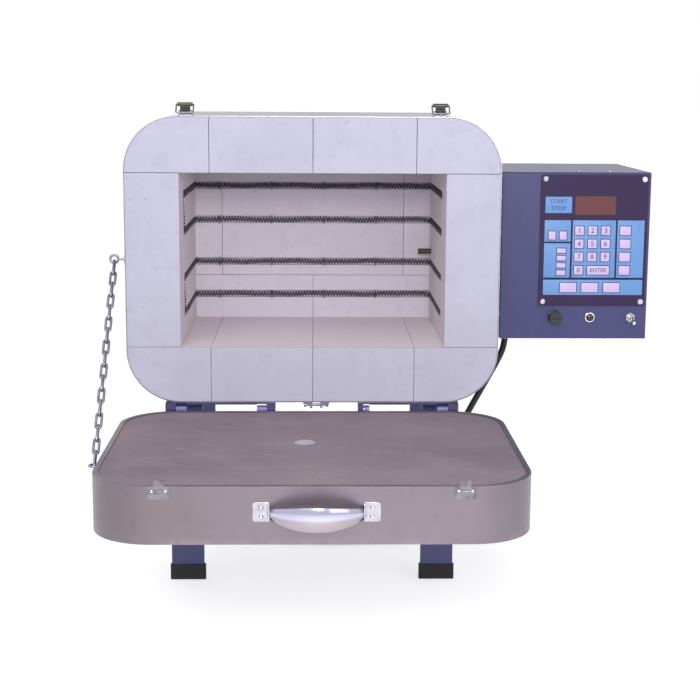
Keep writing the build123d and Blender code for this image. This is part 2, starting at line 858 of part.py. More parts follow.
def box_shell(y0, y1, wall, low, high):
    """A straight stretch of the box, between the depths y0 and y1, hollow from low to high."""
    outer = block(box_left, box_right, y0, y1, box_bottom, box_top)
    inner = block(box_left + wall, box_right - wall, low, high, box_bottom + wall, box_top - wall)
    return outer - inner


flange_back = box_front + front_flange
pan = box_shell(box_front, flange_back, box_wall, box_front + box_wall, flange_back + 1)
fold_edges = pan.edges().filter_by(Axis.X).group_by(Axis.Y)[0]
pan = fillet(fold_edges.sort_by(Axis.Z)[-1], box_fold)
case = box_shell(flange_back + fit_gap, box_back, box_wall, flange_back - 1, box_back - box_wall)
lip_wall, lip_length = 1.2, 9.0
for sign, level in ((-1, box_top - box_wall), (1, box_bottom + box_wall)):
    near, far = level + sign * fit_gap, level + sign * (fit_gap + lip_wall)
    lip_left, lip_right = box_left + box_wall + 1, box_right - box_wall - 1
    case += block(lip_left, lip_right, flange_back - lip_length, flange_back + 8, min(near, far), max(near, far))
    case += block(lip_left, lip_right, flange_back + 1, flange_back + 8, min(level, near), max(level, near))

flange_screw_y = flange_back - 6.0
flange_screw_x = [box_left + inset for inset in (7.5, 87.5, 123.5)]
for x in flange_screw_x:
    for level, way in ((box_top, 1), (box_bottom, -1)):
        place, direction = (x, flange_screw_y, level), (0, 0, way)
        keep("control_box_screws", fastener(place, direction, 2.6, 1.3, 1.4, 5.0))
        hole = fastener_hole(place, direction, 1.4, 5.0)
        pan -= hole
        case -= hole

# Studs that hold the box clear of the hot jacket
stud_inset = 17.0
stud_levels = (box_bottom + stud_inset, box_top - stud_inset)
stud_places = [(y, z) for y in (box_front + 40.0, box_back - 65.0) for z in stud_levels]
stud_radius, stud_grip = 2.5, 20.0
for y, z in stud_places:
    inner, outer = (half_width - stud_grip, y, z), (box_left + box_wall, y, z)
    stud = rod((half_width, y, z), (box_left, y, z), spacer_diameter / 2)
    stud += rod(inner, (box_left + box_wall + 3, y, z), stud_radius)
    stud += rod(outer, (box_left + box_wall + 3, y, z), 5.0)
    keep("box_spacers", stud)
    hole = rod((half_width - stud_grip - 0.2, y, z), (box_left + box_wall + 1, y, z), stud_radius + 0.1)
    jacket -= hole
    case -= hole
    kiln["side_bricks"] = [shape - hole for shape in kiln["side_bricks"]]
for cut in tail_bores + [probe_bore]:
    case -= cut
    pan -= cut

# Controller: a plate on the pan, its pads, its window and the board behind it

plate_face = box_front - plate_wall


def on_plate(x0, x1, z0, z1, front, back):
    """A block on the controller plate, placed from the plate's lower left corner."""
    return block(plate_left + x0, plate_left + x1, front, back, plate_bottom + z0, plate_bottom + z1)


display_window = (39.7, 86.6, 105.1, 126.6)
pads = ((5.3, 35.8, 107.2, 125.8), (5.0, 35.3, 74.5, 99.0), (5.0, 35.3, 33.0, 72.5),
        (37.5, 87.0, 33.0, 99.0), (89.1, 120.0, 33.0, 99.0), (5.0, 120.0, 12.8, 30.4))
key_corner = 0.8
plate = on_plate(0, plate_width, 0, plate_height, plate_face, box_front)
plate = fillet(plate.edges().filter_by(Axis.Y), 2.5)
plate -= on_plate(*display_window, plate_face - 1, box_front + 1)
pad_face = plate_face - pad_relief
for pad in pads:
    shape = on_plate(*pad, pad_face, plate_face)
    keep("keypad", fillet(shape.edges().filter_by(Axis.Y), 1.5))


def key(x, z, width, height):
    """One raised key of the membrane, its middle at x and z on the plate."""
    shape = on_plate(x - width / 2, x + width / 2, z - height / 2, z + height / 2, pad_face - key_rise, pad_face)
    return fillet(shape.edges().filter_by(Axis.Y), key_corner)


digit_columns = (45.2, 60.4, 75.6)
key_rows = (87.1, 72.0, 56.9, 41.5)
for row, z in enumerate(key_rows):
    last_row = row == len(key_rows) - 1
    for x in digit_columns[:1] if last_row else digit_columns:
        keep("keypad", key(x, z, 11.6, 11.6))
    keep("keypad", key(98.2, z, 14.0, 11.8))
enter_middle = (digit_columns[1] + digit_columns[2]) / 2
keep("keypad", key(enter_middle, key_rows[-1], digit_columns[2] - digit_columns[1] + 11.6, 11.6))
for x in (13.8, 26.5):
    keep("keypad", key(x, 81.5, 9.6, 11.0))
for z in (64.0, 55.5, 47.0, 38.5):
    keep("keypad", key(25.0, z, 11.8, 7.0))
for x in (34.0, 58.8, 84.2):
    keep("keypad", key(x, 21.4, 20.5, 12.6))
keep("display_window", on_plate(*display_window, plate_face + 0.3, box_front))
board_front = box_front + box_wall + 8.0
board = on_plate(2, plate_width - 2, 2, plate_height - 2, board_front, board_front + 1.6)
board += on_plate(*display_window, box_front + box_wall + 0.5, board_front)
board += on_plate(20, 44, 40, 70, board_front + 1.6, board_front + 14)
board += on_plate(60, 100, 30, 38, board_front + 1.6, board_front + 12)
pan -= on_plate(12, plate_width - 12, 14, plate_height - 14, box_front - 1, box_front + box_wall + 1)
for x in (screw_inset, plate_width - screw_inset):
    for z in (screw_inset, plate_height - screw_inset):
        place = (plate_left + x, plate_face, plate_bottom + z)
        keep("controller_screws", fastener(place, (0, -1, 0), 3.2, 1.8, 1.5, 13.0))
        hole = fastener_hole(place, (0, -1, 0), 1.5, 13.0)
        plate -= hole
        pan -= hole
        board -= hole
keep("controller_plate", plate)
keep("circuit_board", board)

# Fuse holder, pilot lamp and toggle switch


def fitting(x, steps):
    """A turned fitting on the pan: rods of given radius between pairs of depths."""
    body = None
    for radius, y0, y1 in steps:
        piece = rod((x, y0, fitting_level), (x, y1, fitting_level), radius)
        body = piece if body is None else body + piece
    return body


def pan_hole(x, radius):
    """The hole that a fitting passes through."""
    return rod((x, box_front - 1, fitting_level), (x, box_front + box_wall + 1, fitting_level), radius)


fuse_radius = fuse_cap_diameter / 2
fuse_body = fitting(fuse_x, ((fuse_radius, box_front - 2, box_front), (6.4, box_front, box_front + 34),
                             (8.5, box_front + box_wall, box_front + box_wall + 3)))
fuse_socket = fitting(fuse_x, ((3.6, box_front - 3, box_front + 24),))
keep("fuse_holder", fuse_body - fuse_socket)
fuse_cap = fitting(fuse_x, ((fuse_radius - 1.2, box_front - 2 - fuse_cap_length, box_front - 2 - fit_gap),
                            (3.5, box_front - 2 - fit_gap, box_front + 20)))
slot = block(fuse_x - 9, fuse_x + 9, box_front - 2 - fuse_cap_length - 1, box_front - fuse_cap_length,
             fitting_level - 0.8, fitting_level + 0.8)
keep("fuse_cap", fuse_cap - slot)
pan -= pan_hole(fuse_x, 6.5)

lamp_radius = lamp_diameter / 2
lamp = fitting(lamp_x, ((lamp_radius, box_front - 2, box_front), (4.4, box_front, box_front + 26),
                        (6.5, box_front + box_wall, box_front + box_wall + 3)))
lens_seat = Plane(origin=(lamp_x, box_front - 2, fitting_level), z_dir=(0, -1, 0))
lens = extrude(lens_seat * Circle(lamp_radius - 1.0), 4.0)
lens = fillet(lens.edges().filter_by(GeomType.CIRCLE).sort_by(Axis.Y)[0], 3.0)
keep("pilot_lamp", lamp + lens)
pan -= pan_hole(lamp_x, 4.5)

bush_radius = switch_bush_diameter / 2
pivot_y = box_front - 6.5
ball = 2.2
switch_body = block(switch_x - 6.5, switch_x + 6.5, box_front + box_wall, box_front + 22, fitting_level - 10, fitting_level + 10)
switch_body += fitting(switch_x, ((bush_radius, box_front - 9, box_front + box_wall),))
nut_seat = Plane(origin=(switch_x, box_front, fitting_level), z_dir=(0, -1, 0))
switch_body += extrude(nut_seat * RegularPolygon(5.6, 6), 2.2)
switch_body -= fitting(switch_x, ((ball + 0.1, box_front - 10, box_front - 3),))
keep("switch_body", switch_body)
pan -= pan_hole(switch_x, bush_radius + 0.1)
throw = math.radians(lever_throw / 2)
lever_tip = (switch_x, pivot_y - 17 * math.cos(throw), fitting_level - 17 * math.sin(throw))
lever_axis = Vector(*lever_tip) - Vector(switch_x, pivot_y, fitting_level)
lever_seat = Plane(origin=(switch_x, pivot_y, fitting_level), z_dir=lever_axis)
lever = loft([lever_seat * Circle(1.0), lever_seat.offset(16) * Circle(2.3)])
lever += Pos(switch_x, pivot_y, fitting_level) * Sphere(ball)
lever += Pos(lever_seat.offset(16).origin) * Sphere(2.3)
keep("switch_lever", lever)

# Parts on the back wall of the box

case_floor = box_back - box_wall


def on_back(width, height, depth, x, z):
    """A block on the back wall of the box, its middle at x and z from the box's lower left corner."""
    x, z = box_left + x, box_bottom + z
    return block(x - width / 2, x + width / 2, case_floor - depth, case_floor, z - height / 2, z + height / 2)


keep("transformer", on_back(42.0, 36.0, 30.0, 134.5, 132.5) + on_back(28.0, 50.0, 35.0, 134.5, 132.5))
relay = on_back(45.0, 57.0, 22.0, 96.0, 58.0)
for x, z in ((82.0, 38.0), (110.0, 78.0)):
    relay += on_back(9.0, 9.0, 26.0, x, z)
keep("power_relay", relay)
strip_front, strip_back = element_front - 9, element_front + 9
strip_inner = box_left + box_wall + tail_reach - 10
low, high = element_levels[0] - 10, element_levels[-1] + 10
strip = block(strip_inner, strip_inner + 12, strip_front, strip_back, low, high)
for level in (element_levels[0] + 20, element_levels[-1] - 20):
    strip += block(box_left + box_wall, strip_inner, strip_back - 8, strip_back, level - 5, level + 5)
for level in element_levels:
    strip -= rod((strip_inner - 1, element_front, level), (strip_inner + 11, element_front, level),
                 tail_diameter / 2 + fit_gap)
keep("terminal_block", strip)

# Cord gland, free cord, its coil and its plug

gland_foot = (cord_exit_x, cord_exit_y, box_bottom - gland_reach)
gland = rod((cord_exit_x, cord_exit_y, box_bottom), (cord_exit_x, cord_exit_y, box_bottom - 5), 10.0)
gland += rod((cord_exit_x, cord_exit_y, box_bottom - 5), gland_foot, 6.2)
gland += rod((cord_exit_x, cord_exit_y, box_bottom - 1), (cord_exit_x, cord_exit_y, box_bottom + 6), 5.8)
gland += rod((cord_exit_x, cord_exit_y, box_bottom + box_wall), (cord_exit_x, cord_exit_y, box_bottom + 6), 9.0)
keep("cord_gland", gland)
case -= rod((cord_exit_x, cord_exit_y, box_bottom - 1), (cord_exit_x, cord_exit_y, box_bottom + 3), 5.9)

cord_radius = cord_diameter / 2
floor_line = -leg_height + cord_radius
coil_outer = coil_radius + cord_coil_band / 2
coil_inner = coil_radius - cord_coil_band / 2
# The cord enters the coil, and the plug's tail leaves it, 2 mm inside its edge.
enter_radius = coil_outer - cord_radius
leave_radius = enter_radius - 2.1
coil_enter_x = coil_centre[0] + math.sqrt(coil_outer**2 - enter_radius**2) - 2
coil_leave_x = coil_centre[0] + math.sqrt(coil_outer**2 - leave_radius**2) - 2
# Each point of the free cord: back from the exit to the left, in depth from it, and in height.
cord_fall = (
    (0.0, 0.0, 38.0),
    (4.4, 0.0, 20.5),
    (22.0, 0.5, -12.0),
    (51.0, 2.0, -65.0),
    (73.0, 4.0, -114.0),
    (88.0, 8.0, -158.0),
    (105.0, 14.0, -192.0),
    (133.0, 23.0, -212.0),
)
route = (
    gland_foot,
    *((cord_exit_x - left, cord_exit_y - front, height) for left, front, height in cord_fall),
    (cord_exit_x - 171.0, coil_centre[1] - enter_radius + 2.0, floor_line),
    (coil_enter_x, coil_centre[1] - enter_radius, floor_line),
)


def corner_radii(points):
    """The radius of each arc: as large as its two runs allow."""
    steps = [Vector(*points[i + 1]) - Vector(*points[i]) for i in range(len(points) - 1)]
    radii = []
    for before, after in zip(steps, steps[1:]):
        turn = math.radians(before.get_angle(after))
        radii.append(0.45 * min(before.length, after.length) / math.tan(turn / 2))
    return radii


cord_radii = corner_radii(route)
print("cord radii", [round(radius) for radius in cord_radii])
cord = tube_along(route, cord_radii, cord_radius)
cord_path = FilletPolyline(*route, radius=cord_radii)
print("cord volume over section times length", cord.volume / (math.pi * cord_radius**2 * cord_path.length))
print("cord length to the coil", cord_path.length)
keep("mains_cord", cord)
coil_seat = Plane(origin=(*coil_centre, -leg_height))
keep("cord_coil", extrude(coil_seat * (Circle(coil_outer) - Circle(coil_inner)), cord_coil_height))

plug_y = coil_centre[1] + leave_radius
plug_start = coil_leave_x
plug_z = -leg_height + 14.0
plug = loft([
    Plane(origin=(plug_start, plug_y, plug_z), z_dir=(1, 0, 0)) * Circle(4.5),
    Plane(origin=(plug_start + 26, plug_y, plug_z), z_dir=(1, 0, 0)) * Circle(7.0),
])
grip = block(plug_start + 25, plug_start + 54, plug_y - 14, plug_y + 14, -leg_height, plug_z + 12)
plug += fillet(grip.edges().filter_by(Axis.X), 5.0)
for side in (-1, 1):
    plug += block(plug_start + 54, plug_start + 71, plug_y + side * 6.35 - 0.75, plug_y + side * 6.35 + 0.75,
                  plug_z - 4, plug_z + 3)
plug += rod((plug_start + 54, plug_y, plug_z + 8), (plug_start + 73, plug_y, plug_z + 8), 2.4)
keep("mains_plug", plug)

keep("body_jacket", jacket)
keep("control_box_case", case)
keep("control_box_front", pan)

for name, shapes in kiln.items():
    solids = [solid for shape in shapes for solid in shape.solids()]
    placed = [solid.moved(to_origin) for solid in solids]
    whole = placed[0] if len(placed) == 1 else Compound(children=placed)
    export_step(whole, f"parts/{name}.step")
print(len(kiln), "nodes; origin moved by", to_origin.position)
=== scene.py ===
# %% [markdown]
# # A front-loading electric kiln
# The kiln stands on the floor with its door open, as a potter finds it before loading.
# The construction model is loaded first. It fixes every size, and each piece made here is laid on it.

# %% Load the construction model
import json
import math
import bmesh
import bpy
from mathutils import Matrix, Vector


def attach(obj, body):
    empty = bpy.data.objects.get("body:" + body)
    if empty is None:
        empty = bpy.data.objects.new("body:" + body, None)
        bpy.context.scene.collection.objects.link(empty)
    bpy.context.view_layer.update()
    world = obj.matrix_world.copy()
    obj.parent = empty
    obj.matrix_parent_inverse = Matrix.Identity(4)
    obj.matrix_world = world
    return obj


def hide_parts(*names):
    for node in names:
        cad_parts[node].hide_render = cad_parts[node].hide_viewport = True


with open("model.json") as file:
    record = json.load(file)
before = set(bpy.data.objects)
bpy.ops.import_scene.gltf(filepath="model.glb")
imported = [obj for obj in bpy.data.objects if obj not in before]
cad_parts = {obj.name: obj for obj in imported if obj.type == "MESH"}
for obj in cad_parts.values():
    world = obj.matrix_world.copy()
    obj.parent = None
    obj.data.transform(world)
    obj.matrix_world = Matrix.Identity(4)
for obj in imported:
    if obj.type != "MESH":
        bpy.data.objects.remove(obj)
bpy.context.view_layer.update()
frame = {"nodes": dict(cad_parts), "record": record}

home = {node: body for body, nodes in frame["record"]["behaviour"]["bodies"].items() for node in nodes}

# %% [markdown]
# The maker's drawing of this kiln is in millimetres. Its zero is the middle of the brickwork's front edge,
# at the underside of the body. One small function turns a point of that drawing into a point of the scene,
# so that every number below can be read against the drawing.

# %% A point of the drawing
DRAWING_TO_FLOOR = Vector((-78.75, 34.15, 220.0))


def at(x, y, z):
    """A point of the maker's drawing, in metres from the scene's origin."""
    return (Vector((x, y, z)) + DRAWING_TO_FLOOR) / 1000


MM = 0.001
FLOOR = -DRAWING_TO_FLOOR.z
HINGE_LINE = -8.0
print("hinge line at", tuple(round(v, 4) for v in at(0, 0, HINGE_LINE)))

# %% [markdown]
# ## Camera
# The photograph was taken from about a metre and a half in front, a little above the roof and turned
# slightly to the right. A long lens keeps the kiln's front nearly square. The camera also leans a third
# of a degree, which a matrix built from its three directions can hold.

# %% Camera
PITCH, YAW, ROLL = math.radians(10.0757), math.radians(1.4495), math.radians(0.33675)
ahead = Vector((math.sin(YAW) * math.cos(PITCH), math.cos(YAW) * math.cos(PITCH), -math.sin(PITCH)))
level_right = Vector((math.cos(YAW), -math.sin(YAW), 0))
level_up = level_right.cross(ahead)
right = level_right * math.cos(ROLL) + level_up * math.sin(ROLL)
up = level_up * math.cos(ROLL) - level_right * math.sin(ROLL)
lens = bpy.data.cameras.new("photograph_lens")
lens.lens, lens.sensor_width, lens.sensor_fit = 75.92, 36.0, "HORIZONTAL"
camera = bpy.data.objects.new("photograph_camera", lens)
bpy.context.collection.objects.link(camera)
turn = Matrix((right, up, -ahead)).transposed()
EYE = (0.51, -1635.47, 351.01)
camera.matrix_world = Matrix.Translation(at(*EYE)) @ turn.to_4x4()
bpy.context.scene.camera = camera
print("camera stands at", tuple(round(v, 3) for v in camera.location))

# %% [markdown]
# ## Finishes
# A finish is one Principled shader with a few procedural layers on it. Each layer is a mask, made by a
# noise or cell texture in the piece's own coordinates, which tints the colour, changes the roughness or
# raises the surface. One small class keeps the wiring in a single place, so a finish reads like a recipe.

# %% How a finish is built


def linear(red, green, blue):
    """A colour as it is read off a screen, from 0 to 255, turned into the shader's linear values."""
    values = [v / 255 for v in (red, green, blue)]
    return [v / 12.92 if v <= 0.04045 else ((v + 0.055) / 1.055) ** 2.4 for v in values]


class Finish:
    """A Principled material that masks can tint, roughen and raise."""

    def __init__(self, name, colour, roughness, metallic=0.0, **sockets):
        self.material = bpy.data.materials.new(name)
        self.material.use_nodes = True
        self.nodes, self.links = self.material.node_tree.nodes, self.material.node_tree.links
        self.shader = self.nodes["Principled BSDF"]
        self.shader.inputs["Base Color"].default_value = (*linear(*colour), 1)
        self.shader.inputs["Roughness"].default_value = roughness
        self.shader.inputs["Metallic"].default_value = metallic
        for socket, value in sockets.items():
            self.shader.inputs[socket.replace("_", " ")].default_value = value
        self.place = self.nodes.new("ShaderNodeTexCoord").outputs["Object"]
        self.height = None

    def mask(self, scale, low, high, stretch=(1, 1, 1), detail=4.0, cells=False):
        """A value from 0 to 1 over the surface: where the noise lies between low and high."""
        mapping = self.nodes.new("ShaderNodeMapping")
        mapping.inputs["Scale"].default_value = stretch
        self.links.new(self.place, mapping.inputs["Vector"])
        texture = self.nodes.new("ShaderNodeTexVoronoi" if cells else "ShaderNodeTexNoise")
        texture.inputs["Scale"].default_value = scale
        if not cells:
            texture.inputs["Detail"].default_value = detail
        self.links.new(mapping.outputs["Vector"], texture.inputs["Vector"])
        return self.between(texture.outputs["Distance" if cells else "Fac"], low, high)

    def between(self, value, low, high):
        """The value spread so that low gives 0 and high gives 1."""
        spread = self.nodes.new("ShaderNodeMapRange")
        spread.inputs["From Min"].default_value, spread.inputs["From Max"].default_value = low, high
        self.links.new(value, spread.inputs["Value"])
        return spread.outputs["Result"]

    def along(self, axis, low, high):
        """A value that rises from 0 to 1 along an axis of the piece, between two places in metres."""
        parts = self.nodes.new("ShaderNodeSeparateXYZ")
        self.links.new(self.place, parts.inputs["Vector"])
        return self.between(parts.outputs[axis], low, high)

    def both(self, first, second):
        """Two masks multiplied, so that only what lies in both is left."""
        product = self.nodes.new("ShaderNodeMath")
        product.operation = "MULTIPLY"
        self.links.new(first, product.inputs[0])
        self.links.new(second, product.inputs[1])
        return product.outputs["Value"]

    def tint(self, mask, colour, strength=1.0):
        """Lays a colour over what is there, where the mask says."""
        socket = self.shader.inputs["Base Color"]
        mix = self.nodes.new("ShaderNodeMix")
        mix.data_type = "RGBA"
        if socket.links:
            self.links.new(socket.links[0].from_socket, mix.inputs["A"])
        else:
            mix.inputs["A"].default_value = socket.default_value
        mix.inputs["B"].default_value = (*linear(*colour), 1)
        share = self.nodes.new("ShaderNodeMath")
        share.operation = "MULTIPLY"
        share.inputs[1].default_value = strength
        self.links.new(mask, share.inputs[0])
        self.links.new(share.outputs["Value"], mix.inputs["Factor"])
        self.links.new(mix.outputs["Result"], socket)

    def dull(self, mask, smooth, rough):
        """Roughness that runs from smooth to rough with the mask."""
        spread = self.nodes.new("ShaderNodeMapRange")
        spread.inputs["To Min"].default_value, spread.inputs["To Max"].default_value = smooth, rough
        self.links.new(mask, spread.inputs["Value"])
        self.links.new(spread.outputs["Result"], self.shader.inputs["Roughness"])

    def raise_by(self, mask, distance, strength=1.0):
        """A fine relief, in metres, on top of any that is already there."""
        bump = self.nodes.new("ShaderNodeBump")
        bump.inputs["Distance"].default_value = distance
        bump.inputs["Strength"].default_value = strength
        self.links.new(mask, bump.inputs["Height"])
        if self.height:
            self.links.new(self.height, bump.inputs["Normal"])
        self.height = bump.outputs["Normal"]
        self.links.new(self.height, self.shader.inputs["Normal"])


# %% [markdown]
# Insulating firebrick is a pale ceramic foam. It has a soft mottle, fine open pores and a few rust specks
# from the clay. The same bricks make the rim and the chamber, but their two colours are painted light: the
# rim's blue-grey is the flash painted in, and the warmer white of the chamber's walls is painted in for
# their light out of the flash. The painted warmth starts just behind the rim's face.

# %% Firebrick


def firebrick(name, colour, shade, specks):
    """Pale foam brick, with its mottle, its pores and its specks."""
    brick = Finish(name, colour, 0.93, Specular_IOR_Level=0.2)
    brick.tint(brick.mask(9, 0.40, 0.72, detail=4), shade, 0.35)
    brick.tint(brick.mask(70, 0.5, 0.75, detail=7), shade, 0.35)
    pores = brick.mask(520, 0.0, 0.28, cells=True)
    brick.raise_by(pores, 0.0004, 0.35)
    brick.raise_by(brick.mask(140, 0.35, 0.65, detail=8), 0.0005, 0.35)
    scattered, clustered = brick.mask(90, 0.13, 0.04, cells=True), brick.mask(11, 0.50, 0.62)
    brick.tint(brick.both(scattered, clustered), (140, 122, 124), specks)
    return brick


# The rim's blue-grey is painted light: the flash's cast laid into the brick's colour.
rim_brick = firebrick("rim_firebrick", (184, 182, 200), (166, 163, 182), 0.6)
RIM_ENDS, INSIDE_STARTS = 0.0355, 0.0385
# Behind the rim's face the rim bricks turn to the chamber's warmer white. This is a painted change of
# light, not of brick, and the chamber's own finish carries the same painted light.
rim_brick.tint(rim_brick.along("Y", RIM_ENDS, INSIDE_STARTS), (222, 213, 218))
chamber_brick = firebrick("chamber_firebrick_painted_light", (216, 210, 221), (196, 189, 203), 0.45)
print("firebrick finishes ready")

# %% [markdown]
# The lining of the door has been washed with a brown-grey coating. It is worn, with pale scuffs from
# kiln shelves and darker blotches where glaze fumes settled.

# %% Door lining
coating = Finish("door_lining_wash", (136, 122, 130), 0.72, Specular_IOR_Level=0.3)
coating.tint(coating.mask(4.5, 0.40, 0.66, (1, 1.6, 1)), (118, 106, 118), 0.8)
coating.tint(coating.mask(16, 0.5, 0.74, detail=7), (150, 134, 138), 0.55)
coating.tint(coating.mask(60, 0.62, 0.78, (1.0, 3.0, 1.0), detail=8), (172, 160, 168), 0.5)
coating.tint(coating.mask(34, 0.10, 0.04, cells=True), (92, 82, 94), 0.5)
coating.raise_by(coating.mask(180, 0.35, 0.7, detail=6), 0.0003, 0.4)
print("door lining ready")

# %% [markdown]
# The jacket and the door band are brushed stainless sheet. The brush marks run round the casing, so the
# noise is squeezed along one axis only: along the depth of the kiln for the jacket, along the height for
# the open door's band and across the width for its skin. Bright metal needs a low roughness that varies,
# or it looks like plastic. Its darker blotches are partly stains and partly a painted reflection of the
# room.
# Pale spots along the lower edge of the band are painted highlights on its rolled edge.

# %% Stainless sheet


def brushed(name, colour, marks, stain_and_reflection):
    """Stainless sheet with brush marks squeezed along one axis."""
    sheet = Finish(name, colour, 0.38, 1.0)
    lines = sheet.mask(30, 0.30, 0.70, marks, detail=8)
    sheet.dull(lines, 0.30, 0.48)
    sheet.raise_by(lines, 0.00006, 0.5)
    # Darker blotches: partly stains, partly a painted reflection of the dim room in the sheet.
    sheet.tint(sheet.mask(6, 0.45, 0.75, detail=5), stain_and_reflection, 0.45)
    sheet.tint(sheet.mask(48, 0.60, 0.80, detail=7), stain_and_reflection, 0.35)
    return sheet


jacket_steel = brushed("jacket_stainless", (164, 159, 168), (1, 120, 1), (134, 127, 132))
band_steel = brushed("door_band_stainless", (130, 121, 128), (1, 1, 140), (112, 100, 104))
skin_steel = brushed("door_skin_stainless", (134, 126, 132), (120, 1, 1), (118, 108, 112))
# Pale pinkish spots along the band's lower edge are painted highlights, glints on its rolled edge.
EDGE_GLINTS_START, EDGE_GLINTS_FULL = 0.164, 0.157
painted_edge_glints = band_steel.mask(70, 0.45, 0.62, (1, 1, 0.3))
low_edge = band_steel.along("Z", EDGE_GLINTS_START, EDGE_GLINTS_FULL)
band_steel.tint(band_steel.both(painted_edge_glints, low_edge), (150, 130, 140), 0.6)
print("stainless ready")

# %% [markdown]
# Small hardware comes in several metals: nickel plate on brackets and screws, worn nickel on the latch
# plates and keepers, darkened steel on the latch levers, chrome on the handle and rivets, zinc on the
# chain and bolts, blue-tinged zinc on the hinges, and dark scaled wire inside the kiln.

# %% Hardware metals
nickel = Finish("nickel_plate", (176, 172, 178), 0.24, 1.0)
nickel.tint(nickel.mask(160, 0.45, 0.7), (138, 132, 138), 0.5)
chrome = Finish("bright_chrome", (206, 208, 222), 0.10, 1.0)
chrome.dull(chrome.mask(120, 0.4, 0.75), 0.07, 0.2)
grip_chrome = Finish("grip_chrome", (184, 183, 206), 0.13, 1.0)
# Below the middle of the grip the chrome turns a darker pink-grey: a painted reflection on its underside.
GRIP_MIDDLE, GRIP_UNDERSIDE = 0.1885, 0.186
grip_chrome.tint(grip_chrome.along("Z", GRIP_MIDDLE, GRIP_UNDERSIDE), (160, 150, 156))
zinc = Finish("zinc_plate", (150, 150, 162), 0.36, 1.0)
zinc.tint(zinc.mask(130, 0.42, 0.7), (112, 112, 126), 0.6)
lever_steel = Finish("darkened_lever_steel", (82, 80, 74), 0.34, 0.85)
lever_steel.tint(lever_steel.mask(120, 0.45, 0.7), (58, 56, 54), 0.6)
worn_plate = Finish("worn_nickel_plate", (134, 130, 140), 0.30, 1.0)
worn_plate.tint(worn_plate.mask(110, 0.42, 0.66), (92, 86, 92), 0.75)
hinge_zinc = Finish("blue_zinc_plate", (86, 84, 122), 0.42, 0.85)
hinge_zinc.tint(hinge_zinc.mask(90, 0.45, 0.7), (76, 74, 104), 0.6)
wire_scale = Finish("scaled_element_wire", (92, 84, 100), 0.62, 0.55)
wire_scale.tint(wire_scale.mask(260, 0.45, 0.65), (60, 54, 66), 0.8)
probe_scale = Finish("scaled_probe", (84, 80, 66), 0.6, 0.6)
probe_scale.tint(probe_scale.mask(200, 0.45, 0.7), (54, 50, 42), 0.8)
print("hardware metals ready")

# %% [markdown]
# The control box and the legs are stove-enamelled in a slate blue with a faint orange-peel surface. The
# controller's plate is a dark violet print under a satin film.

# %% Paint, plastic and rubber


def enamel(name, colour, worn):
    """Stoved paint with a faint orange peel."""
    paint = Finish(name, colour, 0.42, Coat_Weight=0.15, Coat_Roughness=0.25)
    paint.tint(paint.mask(7, 0.42, 0.7), worn, 0.5)
    paint.raise_by(paint.mask(420, 0.3, 0.7, detail=2), 0.00012, 0.35)
    return paint


box_enamel = enamel("slate_blue_enamel", (44, 46, 98), (52, 52, 102))
leg_enamel = enamel("leg_blue_enamel", (84, 88, 138), (70, 72, 116))
plate_print = Finish("violet_controller_print", (46, 30, 68), 0.5, Specular_IOR_Level=0.25)
plate_print.tint(plate_print.mask(18, 0.4, 0.7), (38, 25, 56), 0.7)
boot_rubber = Finish("boot_rubber", (34, 33, 36), 0.7)
boot_rubber.tint(boot_rubber.mask(60, 0.5, 0.75), (60, 58, 62), 0.5)
boot_rubber.raise_by(boot_rubber.mask(500, 0.3, 0.7), 0.0001, 0.4)
cord_rubber = Finish("cord_rubber", (28, 27, 31), 0.55)
cord_rubber.tint(cord_rubber.mask(200, 0.5, 0.8), (46, 44, 50), 0.5)
black_plastic = Finish("black_moulding", (24, 24, 26), 0.3, Coat_Weight=0.2, Coat_Roughness=0.15)
pad_blue = Finish("pad_blue_print", (106, 148, 202), 0.45, Specular_IOR_Level=0.3)
pad_blue.tint(pad_blue.mask(24, 0.4, 0.7), (98, 140, 196), 0.8)
key_lilac = Finish("key_lilac_print", (196, 176, 218), 0.4)
key_ink = Finish("key_ink", (44, 38, 70), 0.5)
red_window = Finish("red_window", (96, 34, 40), 0.14, Coat_Weight=0.6, Coat_Roughness=0.08)
WINDOW_LEFT, WINDOW_RIGHT = 0.23, 0.29
red_window.tint(red_window.along("X", WINDOW_LEFT, WINDOW_RIGHT), (74, 28, 40), 0.7)
lamp_red = Finish("lamp_red", (74, 26, 26), 0.12, Transmission_Weight=0.15)
porcelain = Finish("porcelain", (226, 222, 212), 0.25)
board_green = Finish("board_green", (40, 84, 56), 0.5)
lamination = Finish("transformer_laminations", (108, 102, 98), 0.5, 0.7)
lamination.raise_by(lamination.mask(60, 0.4, 0.6, (30, 1, 1)), 0.0002)
phenolic = Finish("phenolic_strip", (58, 48, 44), 0.5)
print(len(bpy.data.materials), "finishes")

# %% [markdown]
# ## Mains cord
# A rubber mains lead leaves the gland under the control box and falls to the floor under the kiln. The
# photograph shows only its first stretch. The rest of its length is wound into a flat coil of two layers
# between the legs. One spline holds it all: a few points for the free
# run, and a loop that adds the turns, inwards on the floor and outwards again on top.

# %% Mains cord
CORD = 8.0
TURN_STEP = 8.4
LAYER_STEP = 8.2
COIL_MIDDLE = (-10.0, 220.0)
OUTER_TURN = 54.5
FIRST_LAYER, RAMP, SECOND_LAYER = 2.25, 0.25, 2.0
POINTS_PER_TURN = 16
free_run = [
    (243.0, 200.0, 52.0), (243.0, 200.0, 38.0), (238.6, 200.0, 20.5), (221.0, 199.5, -12.0),
    (192.0, 198.0, -65.0), (170.0, 196.0, -114.0), (155.0, 192.0, -158.0), (138.0, 186.0, -192.0),
    (110.0, 177.0, -212.0), (72.0, 167.5, -216.0), (9.2623, 165.5, -216.0),
]


